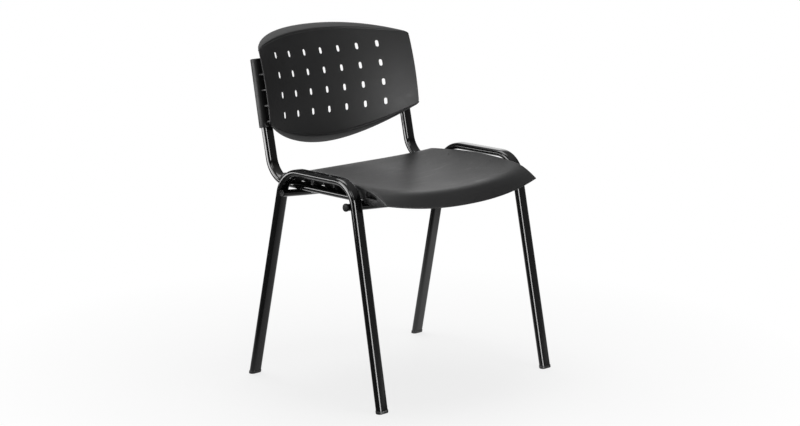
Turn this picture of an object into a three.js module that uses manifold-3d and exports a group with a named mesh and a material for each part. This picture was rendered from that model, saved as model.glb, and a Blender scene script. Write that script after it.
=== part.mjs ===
// A stacking visitor chair. Two bent flat-oval leg frames are joined by two bowed cross tubes.
// On these lie two L-shaped tubes, which carry a moulded seat shell and a perforated back shell.
// Millimetres, +Z up, the sitter faces -Y. The origin is on the floor, under the middle.

import * as THREE from 'three';
import { mergeVertices } from 'three/addons/utils/BufferGeometryUtils.js';
import Module from 'manifold-3d';

const wasm = await Module();
wasm.setup();

// Fits that every piece shares
const touchGap = 0.3; // between pieces that bear on each other
const slideClearance = 0.35; // all round a piece that slides into another
const cutOverrun = 6; // how far a cutter runs past the material
const weldTolerance = 0.001;

// Tube stock
const tubeWidth = 30;
const tubeThickness = 15;
const tubeWall = 1.5;
const crossTubeDiameter = 16;
const crossTubeWall = 1.5;

// Leg frames
const footSpacing = 524; // between the leg centrelines, across the floor
const footDepth = 438; // from the front feet to the rear feet
const runHeight = 497.5; // centre of the level top run
const frontLegInset = 99; // how far the front leg leans in, from the floor to the run
const rearLegInset = 111;
const frontBendRise = 6; // where the leg starts to bend, above the centre of the cross tube's end
const rearBendRise = 0.5;
const frameLeanShare = 0.015; // sideways lean of a frame, as a share of the height

// Foot glides
const glideHeight = 7;
const glideLip = 1;
const glideRounding = 1.8;
const glideSpigot = 24;

// Cross tubes and the plugs in their ends
const crossTubeDrop = 52; // from the run's centre down to the tube's ends
const crossTubeSag = 12;
const crossTubeInset = 1; // from the outer face of the leg to the tube's end
const knobDiameter = 18;
const knobLength = 5.5;
const knobRounding = 2;
const plugLip = 1.6;
const plugSpigot = 16;

// L-shaped tubes
const frameToRail = 7; // clear between the level top run and the rail, seen from above
const railFrontReach = 128; // how far in front of the middle the rail ends
const railBendRadius = 62;
const uprightSetback = 190.5; // sharp corner of the L, behind the middle
const uprightLeanShare = 0.219;
const uprightLength = 275; // up the lean, from the sharp corner
const railPlugLip = 2.5;
const railPlugSpigot = 18;

// Seat shell
const seatOverhang = 2.5; // beyond the rail's outer side
const seatWall = 4;
const dishDrop = 4.2; // lowest part of the dish, below the pads that stand on the rails
const seatRearSetback = 181; // rear edge, behind the middle
const seatFrontReach = 230; // front lip, in front of the middle
const seatLipDrop = 27; // lower edge of the lip, below the dish
const seatSideRise = 31.5; // highest part of the side rims, above the dish
const wallEdgeRise = 19.1; // straight lower edge of the side walls, above the dish
const skirtDrop = 29; // lowest point of the corner skirts, below that edge
const frontSkirtSetback = 22; // front tip of the side walls, behind the front of the lip
const frontSkirtLength = 101;
const rearSkirtSetback = 42; // rear end of the side walls, in front of the seat's rear edge
const rearSkirtLength = 48;
const ribWall = 2.4;
const ribDepth = 8;
const ribPitch = 34.8;
const ribCount = 8;
const firstRibReach = 102.1; // foremost cross rib, in front of the middle
const spinePitch = 98; // between the ribs that run fore and aft
const spineBays = [1, 0.5]; // how far the spines pass the first and the last cross rib, in rib pitches
const ribEndInset = 2; // from the seat's side to the ends of the cross ribs
const ribEndRise = 11.5; // lower edge of the ribs' ends, above the dish
const bossDiameter = 14;

// Seat screws, in bosses that stand midway between two cross ribs
const bossBayShares = [0.5, 4.5]; // in rib pitches, behind the foremost rib
const seatScrewShank = 5;
const seatScrewHead = 11;
const seatScrewHeadHeight = 3.2;
const seatScrewBite = 8.5; // how far the thread reaches into the boss

// Back shell, which leans with the uprights
const panelOverhang = 0.5; // beyond the upright's outer side
const panelWall = 3.6;
const panelCentreUp = 207; // up the uprights, from the sharp corner
const panelSetback = 22; // middle of the face, behind the uprights' centre plane
const panelSideCurve = 62.4; // how far the sides come forward of the middle
const panelEndCurve = 12.1; // how far the middle of the top edge falls back
const faceTopReach = 131.8;
const faceBottomReach = 123.1;
const faceTopFall = 37.6; // from the middle of the face's top edge to its ends
const faceBottomRise = 43.6;
const panelCornerRadius = 14;
const rollHeight = 14.5; // of the bent-back top and bottom rims
const topRollDepth = 24;
const bottomRollDepth = 18.4;
const rollEndMargin = 2; // how far past the panel's sides the rims would run out

// Slots of the back shell
const slotRows = 4;
const slotColumns = 7;
const slotPitchAcross = 53;
const slotPitchUp = 46.9;
const slotPatternRise = 6.3; // middle of the pattern, above the panel's centre
const slotWidth = 8.5;
const slotHeight = 15.5;

// Sleeves of the back shell, and the webs that join them to the panel
const sleeveWall = 2.2;
const sleeveLid = 3;
const sleeveTopUp = 74; // above the panel's centre
const sleeveBottomDown = 85;
const webWall = 3;
const webSlotCount = 4;
const webSlotPitch = 36.2;
const webSlotTopUp = 36; // topmost web slot, above the panel's centre
const webSlotHeight = 4.2;
const webSlotMargin = 2.5; // solid web left at each end of a slot
const backScrewRise = 12; // above the sleeve's lower end
const backScrewHead = 8;
const backScrewHeadHeight = 2;
const backScrewShank = 3.8;
const backScrewBite = 7;

// Forms of the shells, as shares of the sizes above
// Each row holds how far forward it lies, and how high above or below the dish, rear to front.
const seatMiddleShares = [
  [0, 0.03], [0.015, 0.27], [0.148, 0.143], [0.319, 0.03], [0.513, 0],
  [0.708, 0.05], [0.854, 0.15], [0.917, 0.11], [0.966, -0.3], [1, -1],
];
const seatSideShares = [
  [0.09, 0.45], [0.108, 0.68], [0.215, 0.82], [0.343, 0.952], [0.513, 1],
  [0.672, 0.905], [0.781, 0.762], [0.842, 0.571], [0.898, 0.238], [0.946, -0.15],
];
const seatRearPower = 7; // how late the rear edge turns up towards the sides
const seatFrontPower = 2.2;
const seatPowerFade = 4;
// How far in from the end of the side wall, and how far below its straight lower edge.
const frontSkirtShares = [
  [0.05, 0.87], [0.23, 0.93], [0.45, 1], [0.57, 0.98], [0.74, 0.8], [0.86, 0.57], [0.92, 0.21], [1, 0],
];
const rearSkirtShares = [[1, 0], [0.56, 0.42], [0.38, 0.76], [0, 0.73]];
const windowShares = [[0.69, 0.04], [0.68, 0.37], [0.31, 0.41], [0.41, 0.19], [0.52, 0.07]];
const panelCurlShare = 0.18; // part of the side curve that is kept for the outermost stretch
const rollShares = [[0, 0], [0.26, 0.09], [0.69, 0.52], [1, 1]]; // up and back, crease to edge
const topRollPower = 3.35; // how late the rim runs out towards the panel's sides
const bottomRollPower = 1.8;
const screwCrownShare = 0.6; // flat of a screw's head, as a share of the head's width
const screwBevelShare = 0.33; // upright side of the head, as a share of its height

// Fineness of the facets
const ovalFacets = 3;
const ringFacets = 9;
const turnedFacets = 10;
const slotFacets = 2;
const bendSteps = 6;
const bowSteps = 12;
const seatColumns = 16;
const seatRowSteps = 2;
const faceColumns = 18;
const faceRows = 7;

// Places worked out from the sizes
const sides = [-1, 1];
const sideName = { '-1': 'left', 1: 'right' };
const endName = { '-1': 'front', 1: 'rear' };
const lean = Math.atan(uprightLeanShare);
const boreWidth = tubeWidth - 2 * tubeWall;
const boreThickness = tubeThickness - 2 * tubeWall;
const legX = (height) => footSpacing / 2 - frameLeanShare * height;
const railX = legX(runHeight) - tubeWidth - frameToRail;
const seatHalf = railX + tubeWidth / 2 + seatOverhang;
const sideWall = seatOverhang - touchGap;
const seatDepth = seatRearSetback + seatFrontReach;
const panelHalf = railX + tubeWidth / 2 + panelOverhang;
const legSlope = (end) => (end < 0 ? frontLegInset : -rearLegInset) / runHeight;
const legY = (end, height) => (end * footDepth) / 2 + legSlope(end) * height;
const crossEndHeight = runHeight - crossTubeDrop;
const bendRadius = (end) => {
  const straight = crossTubeDrop - (end < 0 ? frontBendRise : rearBendRise);
  const turn = Math.PI / 2 - Math.atan(Math.abs(legSlope(end)));
  return (straight * Math.hypot(1, legSlope(end))) / Math.tan(turn / 2);
};
const crossReach = legX(crossEndHeight) + tubeWidth / 2 - crossTubeInset;
const crossHeight = (x) => crossEndHeight - crossTubeSag * (1 - (x / crossReach) ** 2);
const crossSlope = (x) => (2 * crossTubeSag * x) / crossReach ** 2;
const bearingX = railX + (tubeWidth - tubeThickness) / 2; // outer end of the rail's flat underside
const crossTop = crossHeight(bearingX) + (crossTubeDiameter / 2) * Math.hypot(1, crossSlope(bearingX));
const railHeight = crossTop + touchGap + tubeThickness / 2;
const padHeight = railHeight + tubeThickness / 2 + touchGap;
const dishHeight = padHeight - dishDrop;
const rollSteps = rollShares.length - 1;
const panelRows = faceRows + 2 * rollSteps;

// Materials
const blackPaint = { color: 0x0b0b0c, roughness: 0.2, metalness: 0 };
const blackShell = { color: 0x1d1d1e, roughness: 0.6, metalness: 0 };
const blackCap = { color: 0x121213, roughness: 0.45, metalness: 0 };
const zincSteel = { color: 0xb4b6b8, roughness: 0.35, metalness: 1 };

// Geometry helpers

// Joins shared corners and drops the triangles that have collapsed to a line.
function weld(geometry) {
  const bare = geometry.clone();
  bare.deleteAttribute('normal');
  bare.deleteAttribute('uv');
  const welded = mergeVertices(bare, weldTolerance);
  const kept = [];
  for (const [a, b, c] of trianglesOf(welded)) {
    if (a !== b && b !== c && c !== a) kept.push(a, b, c);
  }
  welded.setIndex(kept);
  return welded;
}

function trianglesOf(geometry) {
  const corners = geometry.index.array;
  const triangles = [];
  for (let i = 0; i < corners.length; i += 3) triangles.push(corners.slice(i, i + 3));
  return triangles;
}

function signedVolume(geometry) {
  const place = geometry.attributes.position;
  const at = (corner) => new THREE.Vector3().fromBufferAttribute(place, corner);
  let volume = 0;
  for (const [a, b, c] of trianglesOf(geometry)) volume += at(a).dot(at(b).cross(at(c)));
  return volume;
}

// Turns a closed geometry into a solid that can be joined and cut.
function solid(geometry) {
  const closed = weld(geometry);
  const triVerts = Uint32Array.from(closed.index.array);
  if (signedVolume(closed) < 0) triVerts.reverse();
  const vertProperties = Float32Array.from(closed.attributes.position.array);
  return new wasm.Manifold(new wasm.Mesh({ numProp: 3, vertProperties, triVerts }));
}

function piece(name, body, finish) {
  const { vertProperties, triVerts } = body.getMesh();
  const geometry = new THREE.BufferGeometry();
  geometry.setAttribute('position', new THREE.BufferAttribute(vertProperties, 3));
  geometry.setIndex(new THREE.BufferAttribute(triVerts, 1));
  geometry.computeVertexNormals();
  const mesh = new THREE.Mesh(geometry, new THREE.MeshStandardMaterial(finish));
  mesh.name = name;
  return mesh;
}

const join = (bodies) => bodies.reduce((whole, body) => whole.add(body));
const cut = (body, cutters) => cutters.reduce((left, cutter) => left.subtract(cutter), body);

// A flat oval, wide along x: two half rounds joined by straight sides.
function ovalOutline(width, thickness, Outline = THREE.Shape) {
  const outline = new Outline();
  const reach = (width - thickness) / 2;
  const quarter = Math.PI / 2;
  outline.absarc(reach, 0, thickness / 2, -quarter, quarter, false);
  outline.absarc(-reach, 0, thickness / 2, quarter, 3 * quarter, false);
  return outline;
}

// The flat-oval tube's own outline, or one that is larger or smaller all round.
const tubeOutline = (growth, Outline) => (
  ovalOutline(tubeWidth + 2 * growth, tubeThickness + 2 * growth, Outline)
);

function hollowOval() {
  const section = tubeOutline(0);
  section.holes.push(tubeOutline(-tubeWall, THREE.Path));
  return section;
}

function ring(outer, inner) {
  const section = new THREE.Shape().absarc(0, 0, outer / 2, 0, 2 * Math.PI, false);
  section.holes.push(new THREE.Path().absarc(0, 0, inner / 2, 0, 2 * Math.PI, false));
  return section;
}

// A flat route that is walked from station to station, so that straights need no steps of their
// own. A section's x runs along the across direction, square to the route's plane.
class StationRoute extends THREE.Curve {
  constructor(stations, across) {
    super();
    this.stations = stations;
    this.across = across;
  }

  computeFrenetFrames() {
    const tangents = this.stations.map(({ tangent }) => tangent);
    const normals = tangents.map(() => this.across);
    const binormals = tangents.map((tangent) => tangent.clone().cross(this.across));
    return { tangents, normals, binormals };
  }

  getPointAt(share) {
    return this.stations[Math.round(share * (this.stations.length - 1))].point.clone();
  }
}

// Straight runs between corners, with an arc at each corner between the ends.
function bentRoute(corners, radii) {
  const headings = corners.slice(1).map((corner, i) => corner.clone().sub(corners[i]).normalize());
  const stations = [{ point: corners[0], tangent: headings[0] }];
  for (let i = 1; i < headings.length; i += 1) {
    const [before, after] = [headings[i - 1], headings[i]];
    const radius = radii[i - 1];
    const turn = before.angleTo(after);
    const inward = after.clone().addScaledVector(before, -before.dot(after)).normalize();
    const start = corners[i].clone().addScaledVector(before, -radius * Math.tan(turn / 2));
    for (let step = 0; step <= bendSteps; step += 1) {
      const angle = (turn * step) / bendSteps;
      const point = start.clone().addScaledVector(before, radius * Math.sin(angle));
      point.addScaledVector(inward, radius * (1 - Math.cos(angle)));
      const tangent = before.clone().multiplyScalar(Math.cos(angle));
      stations.push({ point, tangent: tangent.addScaledVector(inward, Math.sin(angle)) });
    }
  }
  stations.push({ point: corners.at(-1), tangent: headings.at(-1) });
  return new StationRoute(stations, new THREE.Vector3(1, 0, 0));
}

function sweep(section, route, curveSegments) {
  const steps = route.stations.length - 1;
  return new THREE.ExtrudeGeometry(section, { steps, curveSegments, extrudePath: route });
}

function prism(section, from, to, curveSegments = ovalFacets) {
  const options = { depth: to - from, curveSegments, bevelEnabled: false };
  return new THREE.ExtrudeGeometry(section, options).translate(0, 0, from);
}

// A plate whose outline is drawn in Y and Z, and whose faces lie at two places along X.
const yzPlane = new THREE.Matrix4().makeBasis(
  new THREE.Vector3(0, 1, 0),
  new THREE.Vector3(0, 0, 1),
  new THREE.Vector3(1, 0, 0),
);
function sidePlate(outline, from, to) {
  const shape = new THREE.Shape(outline.map(([y, z]) => new THREE.Vector2(y, z)));
  return solid(prism(shape, Math.min(from, to), Math.max(from, to)).applyMatrix4(yzPlane));
}

function block(x, y, z) {
  const box = new THREE.BoxGeometry(...[x, y, z].map(([from, to]) => to - from));
  return solid(box.translate(...[x, y, z].map(([from, to]) => (from + to) / 2)));
}

// A turned piece: radius and height of each corner of its outline, its axis along Z.
function turned(outline, facets = turnedFacets) {
  const points = outline.map(([radius, height]) => new THREE.Vector2(radius, height));
  return new THREE.LatheGeometry(points, facets).rotateX(Math.PI / 2);
}

const bar = (diameter, from, to) => turned([
  [0, from], [diameter / 2, from], [diameter / 2, to], [0, to],
]);

// An open sheet whose points come from two shares: from left to right, and from low to high.
function sheet(columns, rows, pointAt) {
  const geometry = new THREE.PlaneGeometry(1, 1, columns, rows);
  const place = geometry.attributes.position;
  const share = geometry.attributes.uv;
  for (let i = 0; i < place.count; i += 1) {
    place.setXYZ(i, ...pointAt(share.getX(i), share.getY(i)));
  }
  geometry.computeVertexNormals();
  return geometry;
}

// The same sheet with every point moved.
function moved(skin, move) {
  const copy = skin.clone();
  const { position, normal } = skin.attributes;
  for (let i = 0; i < position.count; i += 1) {
    const point = new THREE.Vector3().fromBufferAttribute(position, i);
    const facing = new THREE.Vector3().fromBufferAttribute(normal, i);
    copy.attributes.position.setXYZ(i, ...move(point, facing));
  }
  return copy;
}

// The solid between two sheets of the same grid.
function between(face, back) {
  const count = face.attributes.position.count;
  const triangles = trianglesOf(face);
  const corners = triangles.flatMap(([a, b, c]) => [a, b, c, a + count, c + count, b + count]);
  const edges = new Map();
  for (const [a, b, c] of triangles) {
    for (const [from, to] of [[a, b], [b, c], [c, a]]) {
      if (!edges.delete(`${to} ${from}`)) edges.set(`${from} ${to}`, [from, to]);
    }
  }
  for (const [from, to] of edges.values()) {
    corners.push(to, from, from + count, to, from + count, to + count);
  }
  const geometry = new THREE.BufferGeometry();
  const places = [...face.attributes.position.array, ...back.attributes.position.array];
  geometry.setAttribute('position', new THREE.Float32BufferAttribute(places, 3));
  geometry.setIndex(corners);
  return solid(geometry);
}

// Leg frames and foot glides

function sideFrame(side) {
  const corners = [
    new THREE.Vector3(0, legY(-1, 0), 0),
    new THREE.Vector3(0, legY(-1, runHeight), runHeight),
    new THREE.Vector3(0, legY(1, runHeight), runHeight),
    new THREE.Vector3(0, legY(1, 0), 0),
  ];
  const route = bentRoute(corners, sides.map(bendRadius));
  const tube = sweep(hollowOval(), route, ovalFacets);
  tube.rotateY(-side * Math.atan(frameLeanShare)).translate((side * footSpacing) / 2, 0, 0);
  const across = [-footSpacing, footSpacing];
  const floor = block(across, [-footDepth, footDepth], [-tubeWidth, glideHeight + touchGap]);
  return piece(`side_frame_${sideName[side]}`, solid(tube).subtract(floor), blackPaint);
}

// A plug that stands flat on the floor and follows the slant of its leg.
function footGlide(side, end) {
  const lip = new THREE.ExtrudeGeometry(tubeOutline(glideLip), {
    depth: glideHeight - 2 * glideRounding,
    curveSegments: ovalFacets,
    bevelThickness: glideRounding,
    bevelSize: glideRounding,
    bevelOffset: -glideRounding,
    bevelSegments: 2,
  }).translate(0, 0, glideRounding);
  const inside = tubeOutline(-tubeWall - slideClearance);
  const spigot = prism(inside, glideHeight / 2, glideHeight + glideSpigot);
  const slant = new THREE.Matrix4().makeShear(0, 0, 0, 0, -side * frameLeanShare, legSlope(end));
  slant.setPosition((side * footSpacing) / 2, legY(end, 0), 0);
  const body = join([lip, spigot].map((part) => solid(part.applyMatrix4(slant))));
  return piece(`foot_glide_${endName[end]}_${sideName[side]}`, body, blackCap);
}

// Cross tubes: behind the front legs and in front of the rear legs

function crossY(end) {
  const square = (tubeThickness + crossTubeDiameter) / 2 + touchGap;
  return legY(end, crossEndHeight) - end * square * Math.hypot(1, legSlope(end));
}

function crossTube(end) {
  const stations = [];
  for (let step = 0; step <= bowSteps; step += 1) {
    const x = crossReach * ((2 * step) / bowSteps - 1);
    const point = new THREE.Vector3(x, crossY(end), crossHeight(x));
    stations.push({ point, tangent: new THREE.Vector3(1, 0, crossSlope(x)).normalize() });
  }
  const section = ring(crossTubeDiameter, crossTubeDiameter - 2 * crossTubeWall);
  const route = new StationRoute(stations, new THREE.Vector3(0, 1, 0));
  const tube = sweep(section, route, ringFacets);
  return piece(`${endName[end]}_cross_tube`, solid(tube), blackPaint);
}

// A proud round knob in the front tube's ends, and a flush plug in the rear tube's.
function crossTubePlug(side, end) {
  const radius = (end < 0 ? knobDiameter : crossTubeDiameter) / 2;
  const length = end < 0 ? knobLength : plugLip;
  const rounding = Math.min(knobRounding, length / 2);
  const spigot = crossTubeDiameter / 2 - crossTubeWall - slideClearance;
  const plug = turned([
    [0, -plugSpigot],
    [spigot, -plugSpigot],
    [spigot, touchGap],
    [radius, touchGap],
    [radius, touchGap + length - rounding],
    [radius - rounding, touchGap + length],
    [0, touchGap + length],
  ]);
  const body = piece(`cross_tube_plug_${endName[end]}_${sideName[side]}`, solid(plug), blackCap);
  body.position.set(side * crossReach, crossY(end), crossEndHeight);
  body.rotation.y = side * (Math.PI / 2 - Math.atan(crossSlope(crossReach)));
  return body;
}

// L-shaped tubes: a rail under the seat and a leaning upright behind it

function tubeRoute() {
  const corner = new THREE.Vector3(0, uprightSetback, railHeight);
  const up = new THREE.Vector3(0, Math.sin(lean), Math.cos(lean));
  const front = new THREE.Vector3(0, -railFrontReach, railHeight);
  const top = corner.clone().addScaledVector(up, uprightLength);
  return bentRoute([front, corner, top], [railBendRadius]);
}

const bossY = (bayShare) => bayShare * ribPitch - firstRibReach;

function backTube(side) {
  const tube = solid(sweep(hollowOval(), tubeRoute(), ovalFacets));
  const clearance = 2 * slideClearance;
  const railSpan = [railHeight - tubeThickness, railHeight + tubeThickness];
  const seatHoles = bossBayShares.map((bayShare) => (
    solid(bar(seatScrewShank + clearance, ...railSpan).translate(0, bossY(bayShare), 0))
  ));
  const backHole = bar(backScrewShank + clearance, 0, tubeThickness).rotateX(-Math.PI / 2);
  backHole.translate(0, 0, panelCentreUp - sleeveBottomDown + backScrewRise).rotateX(-lean);
  backHole.translate(0, uprightSetback, railHeight);
  const body = piece(
    `back_upright_${sideName[side]}`,
    cut(tube, [...seatHoles, solid(backHole)]),
    blackPaint,
  );
  body.position.x = side * railX;
  return body;
}

function railPlug(side) {
  const lip = prism(tubeOutline(0), touchGap, touchGap + railPlugLip);
  const inside = tubeOutline(-tubeWall - slideClearance);
  const spigot = prism(inside, -railPlugSpigot, touchGap + railPlugLip / 2);
  const body = piece(`rail_plug_${sideName[side]}`, join([solid(lip), solid(spigot)]), blackCap);
  body.position.set(side * railX, -railFrontReach, railHeight);
  body.rotation.x = Math.PI / 2;
  return body;
}

// Seat shell

const seatLine = (shares) => new THREE.SplineCurve(shares.map(([forward, rise]) => new THREE.Vector2(
  seatRearSetback - forward * seatDepth,
  dishHeight + rise * (rise > 0 ? seatSideRise : seatLipDrop),
)));
const seatMiddle = seatLine(seatMiddleShares);
const seatSide = seatLine(seatSideShares);

function seatPoint(acrossShare, alongShare) {
  const across = Math.sin((acrossShare - 0.5) * Math.PI);
  const fade = alongShare ** seatPowerFade;
  const power = seatFrontPower + (seatRearPower - seatFrontPower) * fade;
  const middle = seatMiddle.getPoint(1 - alongShare);
  const place = middle.lerp(seatSide.getPoint(1 - alongShare), Math.abs(across) ** power);
  return [across * seatHalf, place.x, place.y];
}

// Keeps the seat's edge face upright: a moved point never passes the seat's side.
const seatOffset = (depth) => (point, facing) => {
  const place = point.addScaledVector(facing, -depth);
  return [THREE.MathUtils.clamp(place.x, -seatHalf, seatHalf), place.y, place.z];
};

const ribY = (index) => index * ribPitch - firstRibReach;

// Ribs of one depth that follow the dish. Over the rails they are taller, as pads, and beside the
// rails they end shorter, at the side walls.
function seatRibs(core) {
  const drop = ribDepth + seatWall / 2;
  const band = between(core, moved(core, (point) => [point.x, point.y, point.z - drop]));
  const under = between(core, moved(core, (point) => [point.x, point.y, 0]));
  const rows = [...Array(ribCount).keys()].map((index) => {
    const y = ribY(index);
    return [y - ribWall / 2, y + ribWall / 2];
  });
  const tall = [0, runHeight];
  const inner = railX - tubeWidth / 2 - ribWall;
  const crossRibs = rows.map((y) => block([-inner, inner], y, tall));
  const length = [ribY(-spineBays[0]), ribY(ribCount - 1 + spineBays[1])];
  const spines = [-1, 0, 1].map((index) => {
    const x = index * spinePitch;
    return block([x - ribWall / 2, x + ribWall / 2], length, tall);
  });
  const stretches = [
    [inner, bearingX, padHeight],
    [inner, seatHalf - ribEndInset, dishHeight + ribEndRise],
  ];
  const pads = sides.flatMap((side) => stretches.flatMap(([from, to, lowest]) => rows.map((y) => {
    const x = [side * from, side * to].sort((a, b) => a - b);
    return block(x, y, [lowest, runHeight]);
  })));
  const bosses = sides.flatMap((side) => bossBayShares.map((bayShare) => (
    solid(bar(bossDiameter, padHeight, runHeight).translate(side * railX, bossY(bayShare), 0))
  )));
  return join([...crossRibs, ...spines]).intersect(band).add(join([...pads, ...bosses]).intersect(under));
}

// The upright wall along one side: a low rim over the rail that runs down into a skirt at each
// end, the front one with a window.
function seatSideWall(side, core) {
  const front = frontSkirtSetback - seatFrontReach;
  const rear = seatRearSetback - rearSkirtSetback;
  const edge = dishHeight + wallEdgeRise;
  const nearFront = ([into, down]) => [front + into * frontSkirtLength, edge - down * skirtDrop];
  const nearRear = ([into, down]) => [rear - into * rearSkirtLength, edge - down * skirtDrop];
  const lowerEdge = [...frontSkirtShares.map(nearFront), ...rearSkirtShares.map(nearRear)];
  const outline = [...lowerEdge, [rear, runHeight], [front, runHeight]];
  const under = between(core, moved(core, (point) => [point.x, point.y, 0]));
  const plate = sidePlate(outline, side * (seatHalf - sideWall), side * seatHalf).intersect(under);
  const [near, far] = [side * (seatHalf - cutOverrun), side * (seatHalf + cutOverrun)];
  return plate.subtract(sidePlate(windowShares.map(nearFront), near, far));
}

function seatShell() {
  const rows = (seatMiddleShares.length - 1) * seatRowSteps;
  const top = sheet(seatColumns, rows, seatPoint);
  const core = moved(top, seatOffset(seatWall / 2));
  const shell = between(top, moved(top, seatOffset(seatWall)));
  const whole = join([shell, seatRibs(core), ...sides.map((side) => seatSideWall(side, core))]);
  const tubeSpace = sides.map((side) => (
    solid(sweep(tubeOutline(touchGap), tubeRoute(), ovalFacets).translate(side * railX, 0, 0))
  ));
  const pilots = sides.flatMap((side) => bossBayShares.map((bayShare) => solid(
    bar(seatScrewShank, padHeight - touchGap, padHeight + seatScrewBite + touchGap)
      .translate(side * railX, bossY(bayShare), 0),
  )));
  return piece('seat_shell', cut(whole, [...tubeSpace, ...pilots]), blackShell);
}

function seatScrew(side, bayShare) {
  const headTop = railHeight - tubeThickness / 2 - touchGap;
  const [shank, head] = [seatScrewShank / 2 - touchGap, seatScrewHead / 2];
  const screw = turned([
    [0, headTop - seatScrewHeadHeight],
    [head * screwCrownShare, headTop - seatScrewHeadHeight],
    [head, headTop - seatScrewHeadHeight * screwBevelShare],
    [head, headTop],
    [shank, headTop],
    [shank, padHeight + seatScrewBite],
    [0, padHeight + seatScrewBite],
  ]);
  const bayName = bayShare === bossBayShares[0] ? 'front' : 'rear';
  const body = piece(`seat_screw_${bayName}_${sideName[side]}`, solid(screw), zincSteel);
  body.position.set(side * railX, bossY(bayShare), 0);
  return body;
}

// Back shell, drawn as if the uprights stood plumb: x across, y backward, z up the uprights

function panelFaceY(x, rise) {
  const across = (x / panelHalf) ** 2;
  const forward = panelSideCurve * across * (1 - panelCurlShare + panelCurlShare * across);
  return panelSetback - forward + panelEndCurve * (rise / faceTopReach) ** 2;
}

// Level direction square to the face, towards its back.
function panelBackward(x) {
  const across = x / panelHalf;
  const slope = 2 * across * (1 - panelCurlShare) + 4 * panelCurlShare * across ** 3;
  return new THREE.Vector2((slope * panelSideCurve) / panelHalf, 1).normalize();
}

// How far a rounded corner takes the outline in, beside the straight side of the panel.
function cornerFall(x) {
  const into = Math.max(0, Math.abs(x) - panelHalf + panelCornerRadius);
  return panelCornerRadius - Math.sqrt(Math.max(0, panelCornerRadius ** 2 - into ** 2));
}

// How a point below the face lies behind it and nearer the middle, per unit of depth, where the
// wall turns by an angle at the crease and then keeps its new heading in the rim.
function wallShift(past, atCrease, angle, kept) {
  if (past > 0) return [1 - (1 - Math.cos(angle)) * kept, Math.sin(angle) * kept];
  return [1, atCrease ? Math.tan(angle / 2) * kept : 0];
}

// The panel's face, or a skin below it: the stretch between the creases, and the rims that bend
// back from these and run out towards the sides.
const panelPoint = (depth) => (acrossShare, upShare) => {
  const x = Math.sin((acrossShare - 0.5) * Math.PI) * panelHalf;
  const step = Math.round(upShare * panelRows) - rollSteps;
  const past = Math.max(-step, step - faceRows, 0);
  const way = Math.sign(step - faceRows / 2);
  const fall = (x / panelHalf) ** 2;
  const top = faceTopReach - faceTopFall * fall - cornerFall(x);
  const bottom = -faceBottomReach + faceBottomRise * fall + cornerFall(x);
  const rise = THREE.MathUtils.lerp(bottom, top, THREE.MathUtils.clamp(step / faceRows, 0, 1));
  const [rollDepth, power] = way < 0 ? [bottomRollDepth, bottomRollPower] : [topRollDepth, topRollPower];
  const kept = 1 - (Math.abs(x) / (panelHalf + rollEndMargin)) ** power;
  const angle = Math.atan2(rollDepth, rollHeight);
  const [behind, inward] = wallShift(past, step <= 0 || step >= faceRows, angle, kept);
  const [upward, backward] = rollShares[past];
  const backing = panelBackward(x).multiplyScalar(backward * rollDepth * kept + behind * depth);
  const roll = way * (upward * rollHeight * kept - inward * depth);
  return [x + backing.x, panelFaceY(x, rise) + backing.y, panelCentreUp + rise + roll];
};

function panelSlots() {
  const outline = ovalOutline(slotHeight, slotWidth);
  const cutters = [];
  for (let row = 0; row < slotRows; row += 1) {
    for (let column = 0; column < slotColumns; column += 1) {
      const x = (column - (slotColumns - 1) / 2) * slotPitchAcross;
      const rise = slotPatternRise + (row - (slotRows - 1) / 2) * slotPitchUp;
      const y = panelFaceY(x, rise);
      const cutter = prism(outline, -cutOverrun, panelWall + cutOverrun, slotFacets);
      cutter.rotateZ(Math.PI / 2).rotateX(-Math.PI / 2);
      cutters.push(solid(cutter.translate(x, y, panelCentreUp + rise)));
    }
  }
  return cutters;
}

const sleeveBottom = panelCentreUp - sleeveBottomDown;
const sleeveTop = panelCentreUp + sleeveTopUp;

// A sleeve over the upright's top, with a slotted web up to the back of the panel.
function sleeve(side, panelBack) {
  const outer = prism(tubeOutline(slideClearance + sleeveWall), sleeveBottom, sleeveTop);
  const front = -tubeThickness / 2 - slideClearance;
  const webX = side * (railX + (tubeWidth - tubeThickness) / 2);
  const x = [webX - webWall / 2, webX + webWall / 2];
  const rear = 2 * (panelSetback + topRollDepth); // clear of the panel's rims
  const behind = between(panelBack, moved(panelBack, (point) => [point.x, rear, point.z]));
  const panelY = panelFaceY(webX, 0) + panelWall;
  const slots = [...Array(webSlotCount).keys()].map((index) => {
    const z = panelCentreUp + webSlotTopUp - index * webSlotPitch;
    const y = [panelY + webSlotMargin, front - sleeveWall - webSlotMargin];
    const height = [z - webSlotHeight / 2, z + webSlotHeight / 2];
    return block([x[0] - cutOverrun, x[1] + cutOverrun], y, height);
  });
  const web = block(x, [panelY - panelSetback, front], [sleeveBottom, sleeveTop]).intersect(behind);
  return solid(outer.translate(side * railX, 0, 0)).add(cut(web, slots));
}

function backShell() {
  const skin = (depth) => sheet(faceColumns, panelRows, panelPoint(depth));
  const core = skin(panelWall / 2);
  const panel = cut(between(skin(0), skin(panelWall)), panelSlots());
  const whole = join([panel, ...sides.map((side) => sleeve(side, core))]);
  const bores = sides.flatMap((side) => {
    const tube = prism(tubeOutline(slideClearance), sleeveBottom - cutOverrun, sleeveTop - sleeveLid);
    const screw = bar(backScrewShank, 0, tubeThickness).rotateX(-Math.PI / 2);
    screw.translate(0, 0, sleeveBottom + backScrewRise);
    return [tube, screw].map((cutter) => solid(cutter.translate(side * railX, 0, 0)));
  });
  return piece('back_shell', cut(whole, bores), blackShell);
}

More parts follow.
